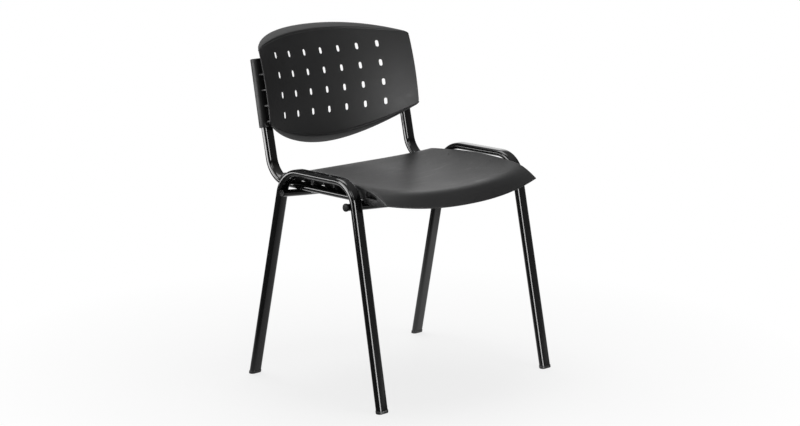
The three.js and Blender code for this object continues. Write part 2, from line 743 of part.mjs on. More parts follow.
// Holds the back shell on its upright, from behind.
function backScrew(side) {
  const seat = tubeThickness / 2 + slideClearance + sleeveWall + touchGap;
  const [shank, head] = [backScrewShank / 2 - touchGap, backScrewHead / 2];
  const screw = turned([
    [0, seat - backScrewBite],
    [shank, seat - backScrewBite],
    [shank, seat],
    [head, seat],
    [head, seat + backScrewHeadHeight * screwBevelShare],
    [head * screwCrownShare, seat + backScrewHeadHeight],
    [0, seat + backScrewHeadHeight],
  ]);
  const body = piece(`back_screw_${sideName[side]}`, solid(screw), zincSteel);
  body.position.set(side * railX, 0, sleeveBottom + backScrewRise);
  body.rotation.x = -Math.PI / 2;
  return body;
}

// The whole chair

const back = new THREE.Group();
back.name = 'leaning_back';
back.position.set(0, uprightSetback, railHeight);
back.rotation.x = -lean;
back.add(backShell(), ...sides.map(backScrew));

const chair = new THREE.Group();
chair.name = 'stacking_chair';
chair.add(seatShell(), back);
for (const end of sides) chair.add(crossTube(end));
for (const side of sides) {
  chair.add(sideFrame(side), backTube(side), railPlug(side));
  for (const end of sides) chair.add(footGlide(side, end), crossTubePlug(side, end));
  for (const bayShare of bossBayShares) chair.add(seatScrew(side, bayShare));
}

// Brings the middle of the chair's depth over the origin.
const extent = new THREE.Box3().setFromObject(chair);
chair.position.y = -(extent.min.y + extent.max.y) / 2;

export default chair;
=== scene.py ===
"""The looks of a stacking visitor chair: moulded seat and back shells on a bent flat-oval tube frame.

Lengths are in millimetres in the chair's own frame (+Z up, the sitter faces -Y) until a mesh is
made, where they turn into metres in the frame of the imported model.
"""

import math
from functools import partial

import bpy
import bmesh
import numpy as np
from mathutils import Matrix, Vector
from mathutils.geometry import delaunay_2d_cdt


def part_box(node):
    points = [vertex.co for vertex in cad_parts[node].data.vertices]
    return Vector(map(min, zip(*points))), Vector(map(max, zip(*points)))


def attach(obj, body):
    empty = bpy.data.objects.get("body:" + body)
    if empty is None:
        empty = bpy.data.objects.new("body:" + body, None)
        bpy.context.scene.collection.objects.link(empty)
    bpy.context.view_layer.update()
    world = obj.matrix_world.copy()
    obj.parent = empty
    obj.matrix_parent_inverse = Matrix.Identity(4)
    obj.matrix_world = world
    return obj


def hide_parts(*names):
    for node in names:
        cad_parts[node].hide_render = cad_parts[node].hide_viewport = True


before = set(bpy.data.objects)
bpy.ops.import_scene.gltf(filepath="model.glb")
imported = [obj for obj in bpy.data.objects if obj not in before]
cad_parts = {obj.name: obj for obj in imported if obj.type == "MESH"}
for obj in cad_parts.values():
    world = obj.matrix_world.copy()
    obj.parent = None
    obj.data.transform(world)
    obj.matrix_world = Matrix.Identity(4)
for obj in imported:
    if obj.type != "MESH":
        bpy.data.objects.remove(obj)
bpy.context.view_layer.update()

# Sizes. Most are those of the solids. Some of the back shell's and of the seat's windows are finer.
TOUCH_GAP = 0.3
SLIDE_CLEARANCE = 0.35
TUBE_WIDTH = 30.0
TUBE_THICKNESS = 15.0
TUBE_WALL = 1.5
TUBE_OPENING = 14.0  # how far a tube's open end is hollow
CROSS_DIAMETER = 16.0
CROSS_WALL = 1.5
FOOT_SPACING = 524.0
FOOT_DEPTH = 438.0
RUN_HEIGHT = 497.5
FRONT_LEG_INSET = 99.0
REAR_LEG_INSET = 111.0
FRONT_BEND_RISE = 6.0
REAR_BEND_RISE = 0.5
FRAME_LEAN_SHARE = 0.015
GLIDE_HEIGHT = 7.0
GLIDE_LIP = 1.0
GLIDE_ROUNDING = 1.8
GLIDE_EDGE = 0.9
GLIDE_HOLLOW = ((5.5, 1.4), (4.2, 1.2), (3.6, 0))  # underneath: inset and height
GLIDE_SPIGOT = 24.0
CROSS_DROP = 52.0
CROSS_SAG = 12.0
CROSS_INSET = 1.0
KNOB_DIAMETER = 18.0
KNOB_LENGTH = 5.5
KNOB_ROUNDING = 2.0
KNOB_CHAMFER = 0.5
KNOB_CROWN = 0.5
PLUG_LIP = 1.6
PLUG_CHAMFER = 0.2
# The raised ring on a flush plug's face, from the top of its rim: outward, up
PLUG_FACE = ((0, -0.7), (-0.2, -0.2), (-0.7, 0), (-1.4, 0), (-1.7, -0.2), (-2, -0.7), (-2.4, -0.8))
PLUG_SPIGOT = 16.0
FRAME_TO_RAIL = 7.0
RAIL_FRONT_REACH = 128.0
RAIL_BEND_RADIUS = 62.0
UPRIGHT_SETBACK = 190.5
UPRIGHT_LEAN_SHARE = 0.219
UPRIGHT_LENGTH = 275.0
RAIL_PLUG_LIP = 2.5
RAIL_PLUG_SPIGOT = 18.0
RAIL_PLUG_CHAMFER = 0.3
RAIL_PLUG_ROUNDING = 1.4
SCREW_CHAMFER = 0.15
SCREW_TIP_TAPER = 0.6
SCREW_TIP_LENGTH = 1.0
SCREW_DOME_SHARES = (0.38, 0.65)  # of the head's radius and height
AXIS_RADIUS = 0.02  # of the smallest ring on a turned piece's axis

SEAT_OVERHANG = 2.5
SEAT_WALL = 4.0
DISH_DROP = 4.2
SEAT_REAR_SETBACK = 181.0
SEAT_FRONT_REACH = 230.0
SEAT_LIP_DROP = 27.0
SEAT_SIDE_RISE = 31.5
SEAT_SIDE_SHIFT = 1.8  # outward, for what the rounded edge takes off the side line
SIDE_ROUNDING_START = 231.3  # where the dish ends and the rounded side edge begins
SIDE_WALL = 2.2
SIDE_THINNING = 1.5  # how many times faster than the side edge turns its wall thins
SIDE_INNER_LEAST = 0.2  # radius inside the side edge
RIB_WALL = 2.4
RIB_DEPTH = 8.0
RIB_PITCH = 34.8
RIB_COUNT = 8
FIRST_RIB_REACH = 102.1
SPINE_PITCH = 98.0
RIB_END_HEIGHT = 473.0
RIB_END_INSET = 1.5
RIB_END_FALL = 3.0
RIB_BLEND = 8.0
RIB_DRAFT = 0.15
RIB_ROUNDING = 0.8
RIB_EDGE_TURNS = (0, 0.5, 1.05, math.pi / 2, 2.09, 2.64, math.pi)  # round a rib's lower edge
BOSS_DIAMETER = 14.0
BOSS_CHAMFER = 0.5
BOSS_FILLET = ((0, -3), (0.6, -1.4), (2, -0.2), (2, 2), (-BOSS_DIAMETER / 2, 2))  # at the dish: outward, up
BOSS_BAY_SHARES = (0.5, 4.5)
SEAT_SCREW = (5.0, 11.0, 3.2)  # diameters of shank and head, height of the head
SEAT_SCREW_BITE = 8.5

PANEL_OVERHANG = 2.3
PANEL_WALL = 2.5
PANEL_CENTRE_UP = 207.0
PANEL_SETBACK = 22.0
PANEL_SIDE_CURVE = 62.4
PANEL_CURL_SHARE = 0.18
PANEL_END_CURVE = 11.8
FACE_TOP_REACH = 128.8
FACE_BOTTOM_REACH = 121.8
FACE_TOP_FALL = 35.2
FACE_BOTTOM_RISE = 41.4
FACE_REACH_SCALE = 130.0
PANEL_CORNER_RADIUS = 8.0
ROLL_HEIGHT = 17.6
ROLL_OVERRUN = 2.0
TOP_ROLL_DEPTH = 24.0
BOTTOM_ROLL_DEPTH = 18.4
TOP_ROLL_POWER = 3.35
BOTTOM_ROLL_POWER = 1.8
CREASE_LENGTH = 4.6
BAND_FLATTENING = 0.12
BAND_TURN = 0.34
CREASE_GROOVE = 0.9
CREASE_GROOVE_INSET = 1.6
CREASE_GROOVE_WIDTH = 1.3
SLOT_ROWS = 4
SLOT_COLUMNS = 7
SLOT_PITCH_ACROSS = 53.0
SLOT_PITCH_UP = 46.9
SLOT_PATTERN_RISE = 6.3
SLOT_WIDTH = 8.0
SLOT_HEIGHT = 15.5
SLOT_ROUNDING = 0.55
SLOT_HALO = 2.2
SLOT_CLEARING = 3.6
SLEEVE_TOP_WALL = 1.5
SLEEVE_BOTTOM_WALL = 3.9
SLEEVE_LID = 3.0
SLEEVE_MOUTH = 0.4
SLEEVE_FOOT_EDGE = ((-0.8, 0), (-0.23, 0.23), (0, 0.8))  # outward, up
SLEEVE_TOP_ROUNDING = 2.4
SLEEVE_TOP_UP = 74.0
SLEEVE_BOTTOM_DOWN = 85.0
WEB_WALL = 3.0
WEB_INSET = 1.5
WEB_SINK = 1.0  # into the sleeve
PANEL_SINK = 1.2
GUSSET_COUNT = 4
GUSSET_PITCH = 36.2
GUSSET_TOP_UP = 36.0
GUSSET_WALL = 3.0
GUSSET_REACH = 8.0
BACK_SCREW_RISE = 12.0
BACK_SCREW = (3.8, 8.0, 2.0)
BACK_SCREW_BITE = 7.0

SEAT_MIDDLE_SHARES = (
    (0, 0.03), (0.015, 0.27), (0.148, 0.143), (0.319, 0.03), (0.513, 0),
    (0.708, 0.05), (0.854, 0.15), (0.919, 0.12), (0.957, -0.24), (1, -1),
)
SEAT_SIDE_SHARES = (
    (0.09, 0.45), (0.108, 0.68), (0.215, 0.82), (0.343, 0.952), (0.513, 1),
    (0.672, 0.905), (0.781, 0.762), (0.842, 0.571), (0.898, 0.238), (0.946, -0.15),
)
SEAT_LINE_STEPS = 541
# Rounds that even out the seat's two lines
SEAT_MIDDLE_RELAXING = 30
SEAT_SIDE_RELAXING = 160
# How the dish turns from the middle line to the side line: a power of the way across
SEAT_REAR_POWER = 7.0
SEAT_FRONT_POWER = 2.2
SEAT_POWER_FADE = 4.0
# How far the closer rows of the seat's mesh reach from its rear and front edges
SEAT_REAR_ZONE = 24.0
SEAT_FRONT_ZONE = 75.0
# The lower edge of the seat's side walls, from the front corner's tip to the rear: y, height, corner radius
SIDE_WALL_EDGE = (
    (-184.8, 453.6, 20), (-162.3, 451.6, 12), (-150.0, 452.3, 20),
    (-133.0, 457.3, 14), (-121.0, 464.0, 8), (-115.5, 474.5, 10), (-107.0, 480.6, 9),
    (91.0, 480.6, 10), (112.0, 468.5, 20), (121.0, 458.5, 5), (139.0, 459.5, 8),
)
WINDOW_CORNERS = (
    (-138.5, 479.6, 2.2), (-139.0, 465.5, 3.0), (-176.3, 464.5, 2.5), (-168.0, 474.0, 4), (-156.0, 478.6, 5),
)
WINDOW_COLLAR = 5.5
COLLAR_WALL = 1.5
WINDOW_NEARNESS = 12.0  # an edge whose middle is this close to a window's is the window's
COLLAR_EDGE = ((0.35, 0.08), (0.7, 0.35), (0.9, 0.9))  # the collar's rounded edge: outward, down
SKIRT_TIP = (3.0, -0.8, 1.0)  # past the end of the seat's side edge: y, height, corner radius
# The rib behind each window and its lower edge: y, height
WINDOW_RIB_X = 214.5
WINDOW_RIB_LEAST = 2.0
WINDOW_RIB_EDGE = ((-178.0, 466.0), (-170.0, 460.0), (-130.0, 460.0), (-114.0, 470.0), (-101.0, 474.0))

# The longest steps of the meshes' edges
SIDE_WALL_GAP = 2.5
WINDOW_GAP = 1.2
SLOT_GAP = 1.8
WEB_GAP = 3.0

SIDES = (-1, 1)
ENDS = (-1, 1)
SIDE_NAME = {-1: "left", 1: "right"}
END_NAME = {-1: "front", 1: "rear"}
LEAN = math.atan(UPRIGHT_LEAN_SHARE)


def leg_x(height):
    return FOOT_SPACING / 2 - FRAME_LEAN_SHARE * height


def leg_slope(end):
    return (FRONT_LEG_INSET if end < 0 else -REAR_LEG_INSET) / RUN_HEIGHT


def leg_y(end, height):
    return end * FOOT_DEPTH / 2 + leg_slope(end) * height


OVAL_REACH = (TUBE_WIDTH - TUBE_THICKNESS) / 2  # of the tube's flat, from its middle
RAIL_X = leg_x(RUN_HEIGHT) - TUBE_WIDTH - FRAME_TO_RAIL
SEAT_HALF = RAIL_X + TUBE_WIDTH / 2 + SEAT_OVERHANG
PANEL_HALF = RAIL_X + TUBE_WIDTH / 2 + PANEL_OVERHANG
CROSS_END_HEIGHT = RUN_HEIGHT - CROSS_DROP
CROSS_REACH = leg_x(CROSS_END_HEIGHT) + TUBE_WIDTH / 2 - CROSS_INSET


def bend_radius(end):
    straight = CROSS_DROP - (FRONT_BEND_RISE if end < 0 else REAR_BEND_RISE)
    turn = math.pi / 2 - math.atan(abs(leg_slope(end)))
    return straight * math.hypot(1, leg_slope(end)) / math.tan(turn / 2)


def cross_height(x):
    return CROSS_END_HEIGHT - CROSS_SAG * (1 - (x / CROSS_REACH) ** 2)


def cross_slope(x):
    return 2 * CROSS_SAG * x / CROSS_REACH ** 2


def cross_y(end):
    square = (TUBE_THICKNESS + CROSS_DIAMETER) / 2 + TOUCH_GAP
    return leg_y(end, CROSS_END_HEIGHT) - end * square * math.hypot(1, leg_slope(end))


BEARING_X = RAIL_X + OVAL_REACH
CROSS_TOP = cross_height(BEARING_X) + CROSS_DIAMETER / 2 * math.hypot(1, cross_slope(BEARING_X))
RAIL_HEIGHT = CROSS_TOP + TOUCH_GAP + TUBE_THICKNESS / 2
PAD_HEIGHT = RAIL_HEIGHT + TUBE_THICKNESS / 2 + TOUCH_GAP
DISH_HEIGHT = PAD_HEIGHT - DISH_DROP


def middle_of(node):
    low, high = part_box(node)
    return (low + high) / 2


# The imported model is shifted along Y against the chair's own frame.
SHIFT = middle_of("front_cross_tube").y * 1000 - cross_y(-1)


def stacked(*columns):
    """Points from columns, of which some may be one value for all."""
    return np.stack(np.broadcast_arrays(*columns), axis=1)


def leaned(points):
    """From the frame of the leaning uprights to the chair's frame."""
    x, y, z = np.asarray(points, float).T
    c, s = math.cos(LEAN), math.sin(LEAN)
    return stacked(x, UPRIGHT_SETBACK + y * c + z * s, RAIL_HEIGHT - y * s + z * c)


def swung(points, turn, origin):
    """Points turned about the Y axis and moved to an origin."""
    x, y, z = points.T
    c, s = math.cos(turn), math.sin(turn)
    return stacked(x * c + z * s, y, z * c - x * s) + origin


def unit(vectors):
    return vectors / np.maximum(np.linalg.norm(vectors, axis=-1, keepdims=True), 1e-12)


def quarter(steps):
    """A quarter round from its side to its top: how far inward and how far below the top, per radius."""
    for step in range(steps):
        angle = math.pi / 2 * step / (steps - 1)
        yield 1 - math.cos(angle), 1 - math.sin(angle)


def crowded(reach, count, share):
    """Places from -reach to reach that lie closer towards both ends."""
    return reach * np.sin(np.linspace(-1, 1, count) * math.pi / 2 * share) / math.sin(math.pi / 2 * share)


# Mesh helpers

# Steps of an edge round a bend, a corner, an end of the oval, the seat's side edge and a slot's end
BEND_STEPS = 30
CORNER_STEPS = 7
OVAL_STEPS = 14
SIDE_STEPS = 9
SLOT_STEPS = 8


class Body:
    """Points and faces of one piece, made of closed skins."""

    def __init__(self):
        self.points = []
        self.faces = []

    def add(self, points, faces):
        base = len(self.points)
        self.points.extend(tuple(point) for point in points)
        self.faces.extend(tuple(base + corner for corner in face) for face in faces)
        return base


def loft(body, rings, place=None):
    """A closed skin through rings of equal counts, with a flat cap at each end."""
    rings = [np.asarray(ring, float) for ring in rings]
    count = len(rings[0])
    faces = [tuple(reversed(range(count)))]
    last = (len(rings) - 1) * count
    for low in range(0, last, count):
        for a, b in sides_of(list(range(low, low + count))):
            faces.append((a, b, b + count, a + count))
    faces.append(tuple(range(last, last + count)))
    points = np.vstack(rings)
    body.add(place(points) if place else points, faces)


def oval(growth=0.0):
    """The tube's flat oval outline in its own plane, grown all round."""
    radius = TUBE_THICKNESS / 2 + growth
    angles = np.linspace(-math.pi / 2, math.pi / 2, OVAL_STEPS + 1)
    right = stacked(OVAL_REACH + radius * np.cos(angles), radius * np.sin(angles))
    return np.vstack([right, -right])


def circle(radius, steps=40):
    angles = np.linspace(0, 2 * math.pi, steps, endpoint=False)
    return radius * stacked(np.cos(angles), np.sin(angles))


def flat_ring(outline, height):
    return stacked(*outline.T, height)


def bent_route(corners, radii):
    """Straight runs with an arc at each inner corner, as points and headings."""
    corners = [np.asarray(corner, float) for corner in corners]
    headings = [unit(b - a) for a, b in zip(corners, corners[1:])]
    points, tangents = [corners[0]], [headings[0]]
    for i in range(1, len(headings)):
        before, after = headings[i - 1], headings[i]
        turn = math.acos(float(before @ after))
        inward = unit(after - before * float(before @ after))
        radius = radii[i - 1]
        start = corners[i] - before * radius * math.tan(turn / 2)
        for angle in np.linspace(0, turn, BEND_STEPS + 1):
            c, s = math.cos(angle), math.sin(angle)
            points.append(start + radius * (before * s + inward * (1 - c)))
            tangents.append(before * c + inward * s)
    points.append(corners[-1])
    tangents.append(headings[-1])
    return np.array(points), np.array(tangents)


def swept_rings(section, points, tangents, across):
    across = np.asarray(across, float)
    rings = []
    for point, tangent in zip(points, tangents):
        rise = np.cross(tangent, across)
        rings.append(point + np.outer(section[:, 0], across) + np.outer(section[:, 1], rise))
    return rings


def tube(body, outer, inner, points, tangents, across, place=None, trim=None):
    """A tube along a route, open for a short way at both ends."""
    rings = swept_rings(outer, points, tangents, across)
    ends = []
    for index, sign in ((0, 1), (-1, -1)):
        way = tangents[index]
        deep = points[index] + sign * way * TUBE_OPENING
        mouth, bottom = swept_rings(inner, [points[index], deep], [way] * 2, across)
        if trim:
            rings[index], mouth = trim(rings[index], way), trim(mouth, way)
        ends.append((mouth, bottom))
    loft(body, [*reversed(ends[0]), *rings, *ends[1]], place)


def turned(body, profile, place):
    """A turned skin: rows of radius and height, from one end of the axis to the other."""
    rings = [flat_ring(circle(max(radius, AXIS_RADIUS)), height) for radius, height in profile]
    loft(body, rings, place)


def rounded(corners, closed=True):
    """A line through corners given as (u, v, radius), each rounded."""
    count = len(corners)
    points = []
    for i, (u, v, radius) in enumerate(corners):
        here = np.array([u, v], float)
        if not closed and i in (0, count - 1):
            points.append(here)
            continue
        before = np.array(corners[i - 1][:2], float) - here
        after = np.array(corners[(i + 1) % count][:2], float) - here
        long_before, long_after = np.linalg.norm(before), np.linalg.norm(after)
        before, after = before / long_before, after / long_after
        bend = math.acos(max(-1.0, min(1.0, float(before @ after))))
        reach = min(radius / math.tan(bend / 2), 0.48 * long_before, 0.48 * long_after)
        start, end = here + before * reach, here + after * reach
        for s in np.linspace(0, 1, CORNER_STEPS + 1):
            points.append((1 - s) ** 2 * start + 2 * s * (1 - s) * here + s ** 2 * end)
    return np.array(points)


def dense(line, gap, closed=True):
    """The same line with no step longer than the gap."""
    ends = np.vstack([line[1:], line[:1]]) if closed else line[1:]
    points = []
    for a, b in zip(line, ends):
        steps = max(1, math.ceil(np.linalg.norm(b - a) / gap))
        points.extend(a + (b - a) * k / steps for k in range(steps))
    if not closed:
        points.append(line[-1])
    return np.array(points)


def inside(loops, points):
    """Which points lie inside an odd number of the loops."""
    odd = np.zeros(len(points), bool)
    x, y = points[:, 0], points[:, 1]
    for loop in loops:
        for (x0, y0), (x1, y1) in zip(loop, np.roll(loop, -1, axis=0)):
            if y0 != y1:
                odd ^= ((y0 > y) != (y1 > y)) & (x < x0 + (y - y0) * (x1 - x0) / (y1 - y0))
    return odd


def sides_of(face):
    return zip(face, face[1:] + face[:1])


def filled(loops, extra=()):
    """Triangles of a flat domain bounded by loops, its first points being the loops' own."""
    points, edges = [], []
    for loop in loops:
        ids = list(range(len(points), len(points) + len(loop)))
        edges.extend(sides_of(ids))
        points.extend(loop)
    points.extend(extra)
    made = delaunay_2d_cdt([Vector(point) for point in points], edges, [], 0, 1e-6)
    places = np.array([tuple(point) for point in made[0]])
    origin = [ids[0] for ids in made[3]]
    faces = np.array(made[2])
    walls = {frozenset(edge) for edge, ids in zip(made[1], made[4]) if ids}
    beside = {}
    for index, face in enumerate(made[2]):
        for side in sides_of(face):
            beside.setdefault(frozenset(side), []).append(index)
    a, b, c = (places[faces[:, k]] for k in range(3))
    turn = (b[:, 0] - a[:, 0]) * (c[:, 1] - a[:, 1]) - (b[:, 1] - a[:, 1]) * (c[:, 0] - a[:, 0])
    start = int(np.argmax(np.abs(turn)))
    state = {start: bool(inside(loops, places[faces[start]].mean(axis=0)[None])[0])}
    waiting = [start]
    while waiting:
        index = waiting.pop()
        for edge in map(frozenset, sides_of(made[2][index])):
            for other in beside[edge]:
                if other not in state:
                    state[other] = state[index] != (edge in walls)
                    waiting.append(other)
    faces[turn < 0] = faces[turn < 0][:, ::-1]
    kept = [face for index, face in enumerate(faces) if state[index]]
    return np.array(points), [tuple(origin[corner] for corner in face) for face in kept]


def boundary_loops(faces):
    edges = {side for face in faces for side in sides_of(face)}
    onward = {a: b for a, b in sorted(edges) if (b, a) not in edges}
    loops = []
    while onward:
        start, here = next(iter(onward.items()))
        loop = [start]
        del onward[start]
        while here != start:
            loop.append(here)
            here = onward.pop(here)
        loops.append(loop)
    return loops


def bullnose(outer, inner, outward, bulge=0.9, square=1.0, steps=6):
    """Rows of a rounded rim between two skins."""
    middle, half = (outer + inner) / 2, (outer - inner) / 2
    depth = np.linalg.norm(half, axis=1)[:, None]
    rows = []
    for step in range(1, steps):
        angle = math.pi * step / steps
        up = math.copysign(abs(math.cos(angle)) ** square, math.cos(angle))
        rows.append(middle + half * up + outward * depth * bulge * math.sin(angle) ** square)
    return rows


def collar(outer, inner, outward):
    """Rows of a rim that turns inward as a short tube around an opening."""
    facing = unit(outer - inner)
    side, end = COLLAR_EDGE[-1][0], WINDOW_COLLAR
    path = [*COLLAR_EDGE, (side, end - 0.5), (side - 0.25, end), (side - COLLAR_WALL, end)]
    return [outer + outward * out - facing * down for out, down in path]


def shell(body, outer, inner, faces, rim_of, place=None):
    """A closed skin: an outer and an inner sheet of the same faces, and a rim along each free edge.

    rim_of says for the points of an edge which rows round it off, such as bullnose.
    """
    outer, inner = np.asarray(outer, float), np.asarray(inner, float)
    count = len(outer)
    points = [outer, inner]
    walls = list(faces) + [tuple(count + corner for corner in reversed(face)) for face in faces]
    base = 2 * count
    for loop in boundary_loops(faces):
        top, low = outer[loop], inner[loop]
        along = unit(np.roll(top, -1, axis=0) - np.roll(top, 1, axis=0))
        outward = unit(np.cross(along, unit(top - low)))
        ids = [list(loop)]
        for row in rim_of(top)(top, low, outward):
            points.append(row)
            ids.append(list(range(base, base + len(loop))))
            base += len(loop)
        ids.append([count + corner for corner in loop])
        for upper, lower in zip(ids, ids[1:]):
            for (a, b), (c, d) in zip(sides_of(upper), sides_of(lower)):
                walls.append((b, a, c, d))
    points = np.vstack(points)
    body.add(place(points) if place else points, walls)


def spline(points, steps):
    """Points of a smooth line through the given ones."""
    corners = np.array(points, float)
    count = len(corners)
    t = np.linspace(0, count - 1, steps)
    i = np.minimum(t.astype(int), count - 2)
    w = (t - i)[:, None]

    def at(k):
        return corners[np.clip(i + k, 0, count - 1)]

    a, b = at(0), at(1)
    start, end = (b - at(-1)) / 2, (at(2) - a) / 2
    return (2 * a - 2 * b + start + end) * w ** 3 + (3 * b - 3 * a - 2 * start - end) * w ** 2 + start * w + a


def relaxed(line, rounds):
    line = line.copy()
    for _ in range(rounds):
        line[1:-1] += 0.5 * ((line[:-2] + line[2:]) / 2 - line[1:-1])
    return line


# Frame tubes

def side_frame(body, side):
    corners = [(0, leg_y(-1, 0), 0), (0, leg_y(-1, RUN_HEIGHT), RUN_HEIGHT),
               (0, leg_y(1, RUN_HEIGHT), RUN_HEIGHT), (0, leg_y(1, 0), 0)]
    points, tangents = bent_route(corners, (bend_radius(-1), bend_radius(1)))
    floor = GLIDE_HEIGHT + TOUCH_GAP
    for index in (0, -1):
        points[index] += tangents[index] * (floor - points[index][2]) / tangents[index][2]

    def trim(ring, tangent):
        return ring + np.outer((floor - ring[:, 2]) / tangent[2], tangent)

    def place(ring):
        return swung(ring, -side * math.atan(FRAME_LEAN_SHARE), (side * FOOT_SPACING / 2, 0, 0))

    tube(body, oval(), oval(-TUBE_WALL), points, tangents, (1, 0, 0), place, trim)


def cross_tube(body, end):
    xs = np.linspace(-CROSS_REACH, CROSS_REACH, 49)
    points = stacked(xs, cross_y(end), cross_height(xs))
    tangents = unit(stacked(1, 0, cross_slope(xs)))
    section = circle(CROSS_DIAMETER / 2, 36)
    inner = circle(CROSS_DIAMETER / 2 - CROSS_WALL, 36)
    tube(body, section, inner, points, tangents, (0, 1, 0))


def back_upright(body, side):
    front, corner = ((0, y, RAIL_HEIGHT) for y in (-RAIL_FRONT_REACH, UPRIGHT_SETBACK))
    top = corner + np.array([0, math.sin(LEAN), math.cos(LEAN)]) * UPRIGHT_LENGTH
    points, tangents = bent_route([front, corner, top], (RAIL_BEND_RADIUS,))
    tube(body, oval(), oval(-TUBE_WALL), points + (side * RAIL_X, 0, 0), tangents, (1, 0, 0))


# Glides, plugs and screws

def foot_glide(body, side, end):
    def ring(growth, height):
        return flat_ring(oval(growth) + (side * leg_x(height), leg_y(end, height)), height)

    rings = [ring(-inset, height) for inset, height in GLIDE_HOLLOW]
    rings += [ring(GLIDE_LIP - GLIDE_ROUNDING * down, GLIDE_ROUNDING * into) for into, down in quarter(7)]
    top = GLIDE_HEIGHT
    rings += [ring(GLIDE_LIP - GLIDE_EDGE * into, top - GLIDE_EDGE * down) for into, down in quarter(5)]
    spigot = -TUBE_WALL - SLIDE_CLEARANCE
    rings += [ring(spigot, top), ring(spigot, top + GLIDE_SPIGOT)]
    loft(body, rings)


def cross_plug(body, side, end):
    def place(ring):
        turn = side * (math.pi / 2 - math.atan(cross_slope(CROSS_REACH)))
        return swung(ring, turn, (side * CROSS_REACH, cross_y(end), CROSS_END_HEIGHT))

    spigot = CROSS_DIAMETER / 2 - CROSS_WALL - SLIDE_CLEARANCE
    profile = [(0, -PLUG_SPIGOT), (spigot, -PLUG_SPIGOT), (spigot, TOUCH_GAP)]
    if end < 0:
        radius, chamfer, top = KNOB_DIAMETER / 2, KNOB_CHAMFER, TOUCH_GAP + KNOB_LENGTH
        face = [(-KNOB_ROUNDING * into, -KNOB_CROWN - KNOB_ROUNDING * down) for into, down in quarter(8)]
        face += [(radius * (share - 1), -KNOB_CROWN * share ** 2) for share in (0.6, 0.4, 0.2, 0)]
    else:
        radius, chamfer, top = CROSS_DIAMETER / 2, PLUG_CHAMFER, TOUCH_GAP + PLUG_LIP
        face = [*PLUG_FACE, (-radius, PLUG_FACE[-1][1])]
    profile += [(radius - chamfer, TOUCH_GAP), (radius, TOUCH_GAP + chamfer)]
    profile += [(radius + out, top + up) for out, up in face]
    turned(body, profile, place)


def rail_plug(body, side):
    def place(ring):
        x, y, z = ring.T
        return stacked(x + side * RAIL_X, -RAIL_FRONT_REACH - z, RAIL_HEIGHT + y)

    spigot = -TUBE_WALL - SLIDE_CLEARANCE
    top = TOUCH_GAP + RAIL_PLUG_LIP
    path = [(spigot, -RAIL_PLUG_SPIGOT), (spigot, TOUCH_GAP), (-RAIL_PLUG_CHAMFER, TOUCH_GAP),
            (0, TOUCH_GAP + RAIL_PLUG_CHAMFER)]
    path += [(-RAIL_PLUG_ROUNDING * into, top - RAIL_PLUG_ROUNDING * down) for into, down in quarter(6)]
    loft(body, [flat_ring(oval(growth), height) for growth, height in path], place)


def screw(body, place, seat, sizes, bite, direction):
    """A pan-head screw with a six-sided recess. The head lies past the seat, along the direction."""
    shank, head, head_height = sizes
    shank, head = shank / 2 - TOUCH_GAP, head / 2
    angles = np.linspace(0, 2 * math.pi, 36, endpoint=False)
    sector = math.pi / 3
    flat = math.cos(sector / 2) / np.cos((angles + sector / 2) % sector - sector / 2)

    def ring(radius, rise, reach=1.0):
        radius = radius * reach
        return stacked(radius * np.cos(angles), radius * np.sin(angles), seat + direction * rise)

    dome, dome_height = SCREW_DOME_SHARES
    rows = [(AXIS_RADIUS, -bite), (shank - SCREW_TIP_TAPER, -bite), (shank, SCREW_TIP_LENGTH - bite),
            (shank, 0), (head - SCREW_CHAMFER, 0), (head, SCREW_CHAMFER)]
    rows += [(head * (1 - dome * into), head_height * (1 - dome_height * down)) for into, down in quarter(6)]
    recess = ((0.5, 0), (0.46, SCREW_CHAMFER), (0.45, head_height * 0.55))
    rings = [ring(radius, rise) for radius, rise in rows]
    rings += [ring(head * share, head_height - depth, flat) for share, depth in recess]
    loft(body, [*rings, ring(head * 0.02, head_height * 0.4)], place)


def boss_y(bay_share):
    return bay_share * RIB_PITCH - FIRST_RIB_REACH


def seat_screw(body, side, bay_share):
    def place(ring):
        return ring + (side * RAIL_X, boss_y(bay_share), 0)

    seat = RAIL_HEIGHT - TUBE_THICKNESS / 2 - TOUCH_GAP
    bite = PAD_HEIGHT + SEAT_SCREW_BITE - seat
    screw(body, place, seat, SEAT_SCREW, bite, -1)


def back_screw(body, side):
    rise = PANEL_CENTRE_UP - SLEEVE_BOTTOM_DOWN + BACK_SCREW_RISE

    def place(ring):
        x, y, z = ring.T
        return leaned(stacked(x + side * RAIL_X, z, rise - y))

    seat = TUBE_THICKNESS / 2 + SLIDE_CLEARANCE + SLEEVE_BOTTOM_WALL + TOUCH_GAP
    screw(body, place, seat, BACK_SCREW, BACK_SCREW_BITE, 1)


# Seat shell

def seat_line(shares):
    return spline([(
        SEAT_REAR_SETBACK - forward * (SEAT_REAR_SETBACK + SEAT_FRONT_REACH),
        DISH_HEIGHT + rise * (SEAT_SIDE_RISE if rise > 0 else SEAT_LIP_DROP),
    ) for forward, rise in shares], SEAT_LINE_STEPS)


